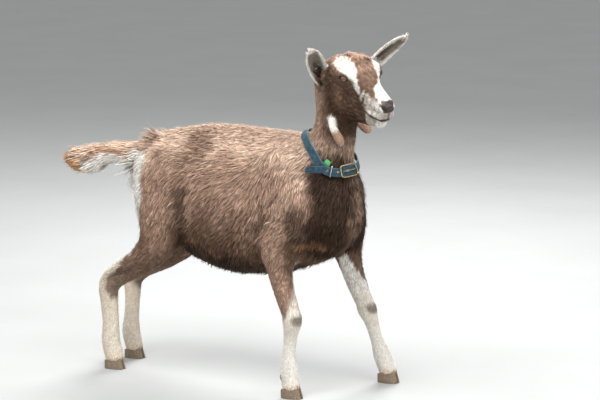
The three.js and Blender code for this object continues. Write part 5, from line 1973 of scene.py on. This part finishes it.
ring_wire = wire_shape(path, KEEPER["wire"], True, around_way)
hard_piece("keeper_ring", ring_wire, steel, "ring", "collar_keeper_ring")

a, v = angles(28)[:, None], angles(12)
middle_r, half_r = (EYELETS["radius"] + EYELETS["hole"]) / 2, (EYELETS["radius"] - EYELETS["hole"]) / 2
for k, angle in enumerate(EYELETS["angles"]):
    r = middle_r + half_r * np.cos(v)
    rings = collar_place(angle + r * np.cos(a) * PER_MM, r * np.sin(a), TOP + GAP + 0.4 + 0.45 * np.sin(v))
    hard_piece(f"eyelet_{k + 1}", closed_shape(rings, True), brass, "buckle", f"collar_eyelet_{k + 1}")

# %% Tag
TAG = {"angle": 84.0, "width": 17.0, "height": 12.0, "sheet": 1.1}


def tag_shape():
    """A sheet folded over the strap's edge: up inside, round the fold and down outside."""
    base = COLLAR["width"] / 2 + GAP + 0.7
    t = np.linspace(0.0, 1.0, 16)
    up = np.stack([base + (TAG["height"] - 3.0) * t, INNER + 0.9 + 0.5 * t], 1)
    turn = np.linspace(-np.pi / 2, np.pi / 2, 10)[1:-1]
    fold = np.stack([base + TAG["height"] - 3.0 + 1.5 * np.cos(turn), INNER + 2.45 + 1.1 * np.sin(turn)], 1)
    down = np.stack([base + (TAG["height"] - 3.0) * (1 - t), OUTER + 0.1 - 0.6 * (t * 2 - 1) ** 2], 1)
    path = np.vstack([up, fold, down])
    way = unit(np.gradient(path, axis=0))
    off = np.stack([-way[:, 1], way[:, 0]], 1) * TAG["sheet"] / 2
    section = np.vstack([path + off, (path - off)[::-1]])
    share = np.linspace(-1.0, 1.0, 14)
    edge = 1.0 - 0.02 * (np.abs(share) > 0.99)
    degrees = TAG["angle"] + share * TAG["width"] / 2 * PER_MM
    heights = -section[:, 0] * edge[:, None]
    return closed_shape(collar_place(degrees[:, None], heights, section[:, 1]), False)


hard_piece("tag", tag_shape(), plastic, "tag", "collar_tag")
print("collar: frame, tongue, keeper, eyelets and tag")

# %% [markdown]
# ## Floor
#
# The goat stands on a plain pale floor, which belongs to the studio and not to the model.

# %% Floor
FLOOR = 14000.0  # from the middle to each edge, in millimetres
corners = np.array([[-1, -1, 0], [1, -1, 0], [1, 1, 0], [-1, 1, 0]]) * [FLOOR, FLOOR, 0.0]
floor = new_object("floor", mesh_of("floor", corners, [[0, 1, 2, 3]], smooth=False))
floor_finish, tree, shader = new_finish("pale floor", Roughness=0.85)
plain = node(tree, "RGB").outputs[0]
plain.default_value = (0.4, 0.405, 0.4, 1.0)
dress(tree, shader, plain, mottled(tree, object_place(tree), 3.0, 0.97, 1.02))
floor.data.materials.append(floor_finish)
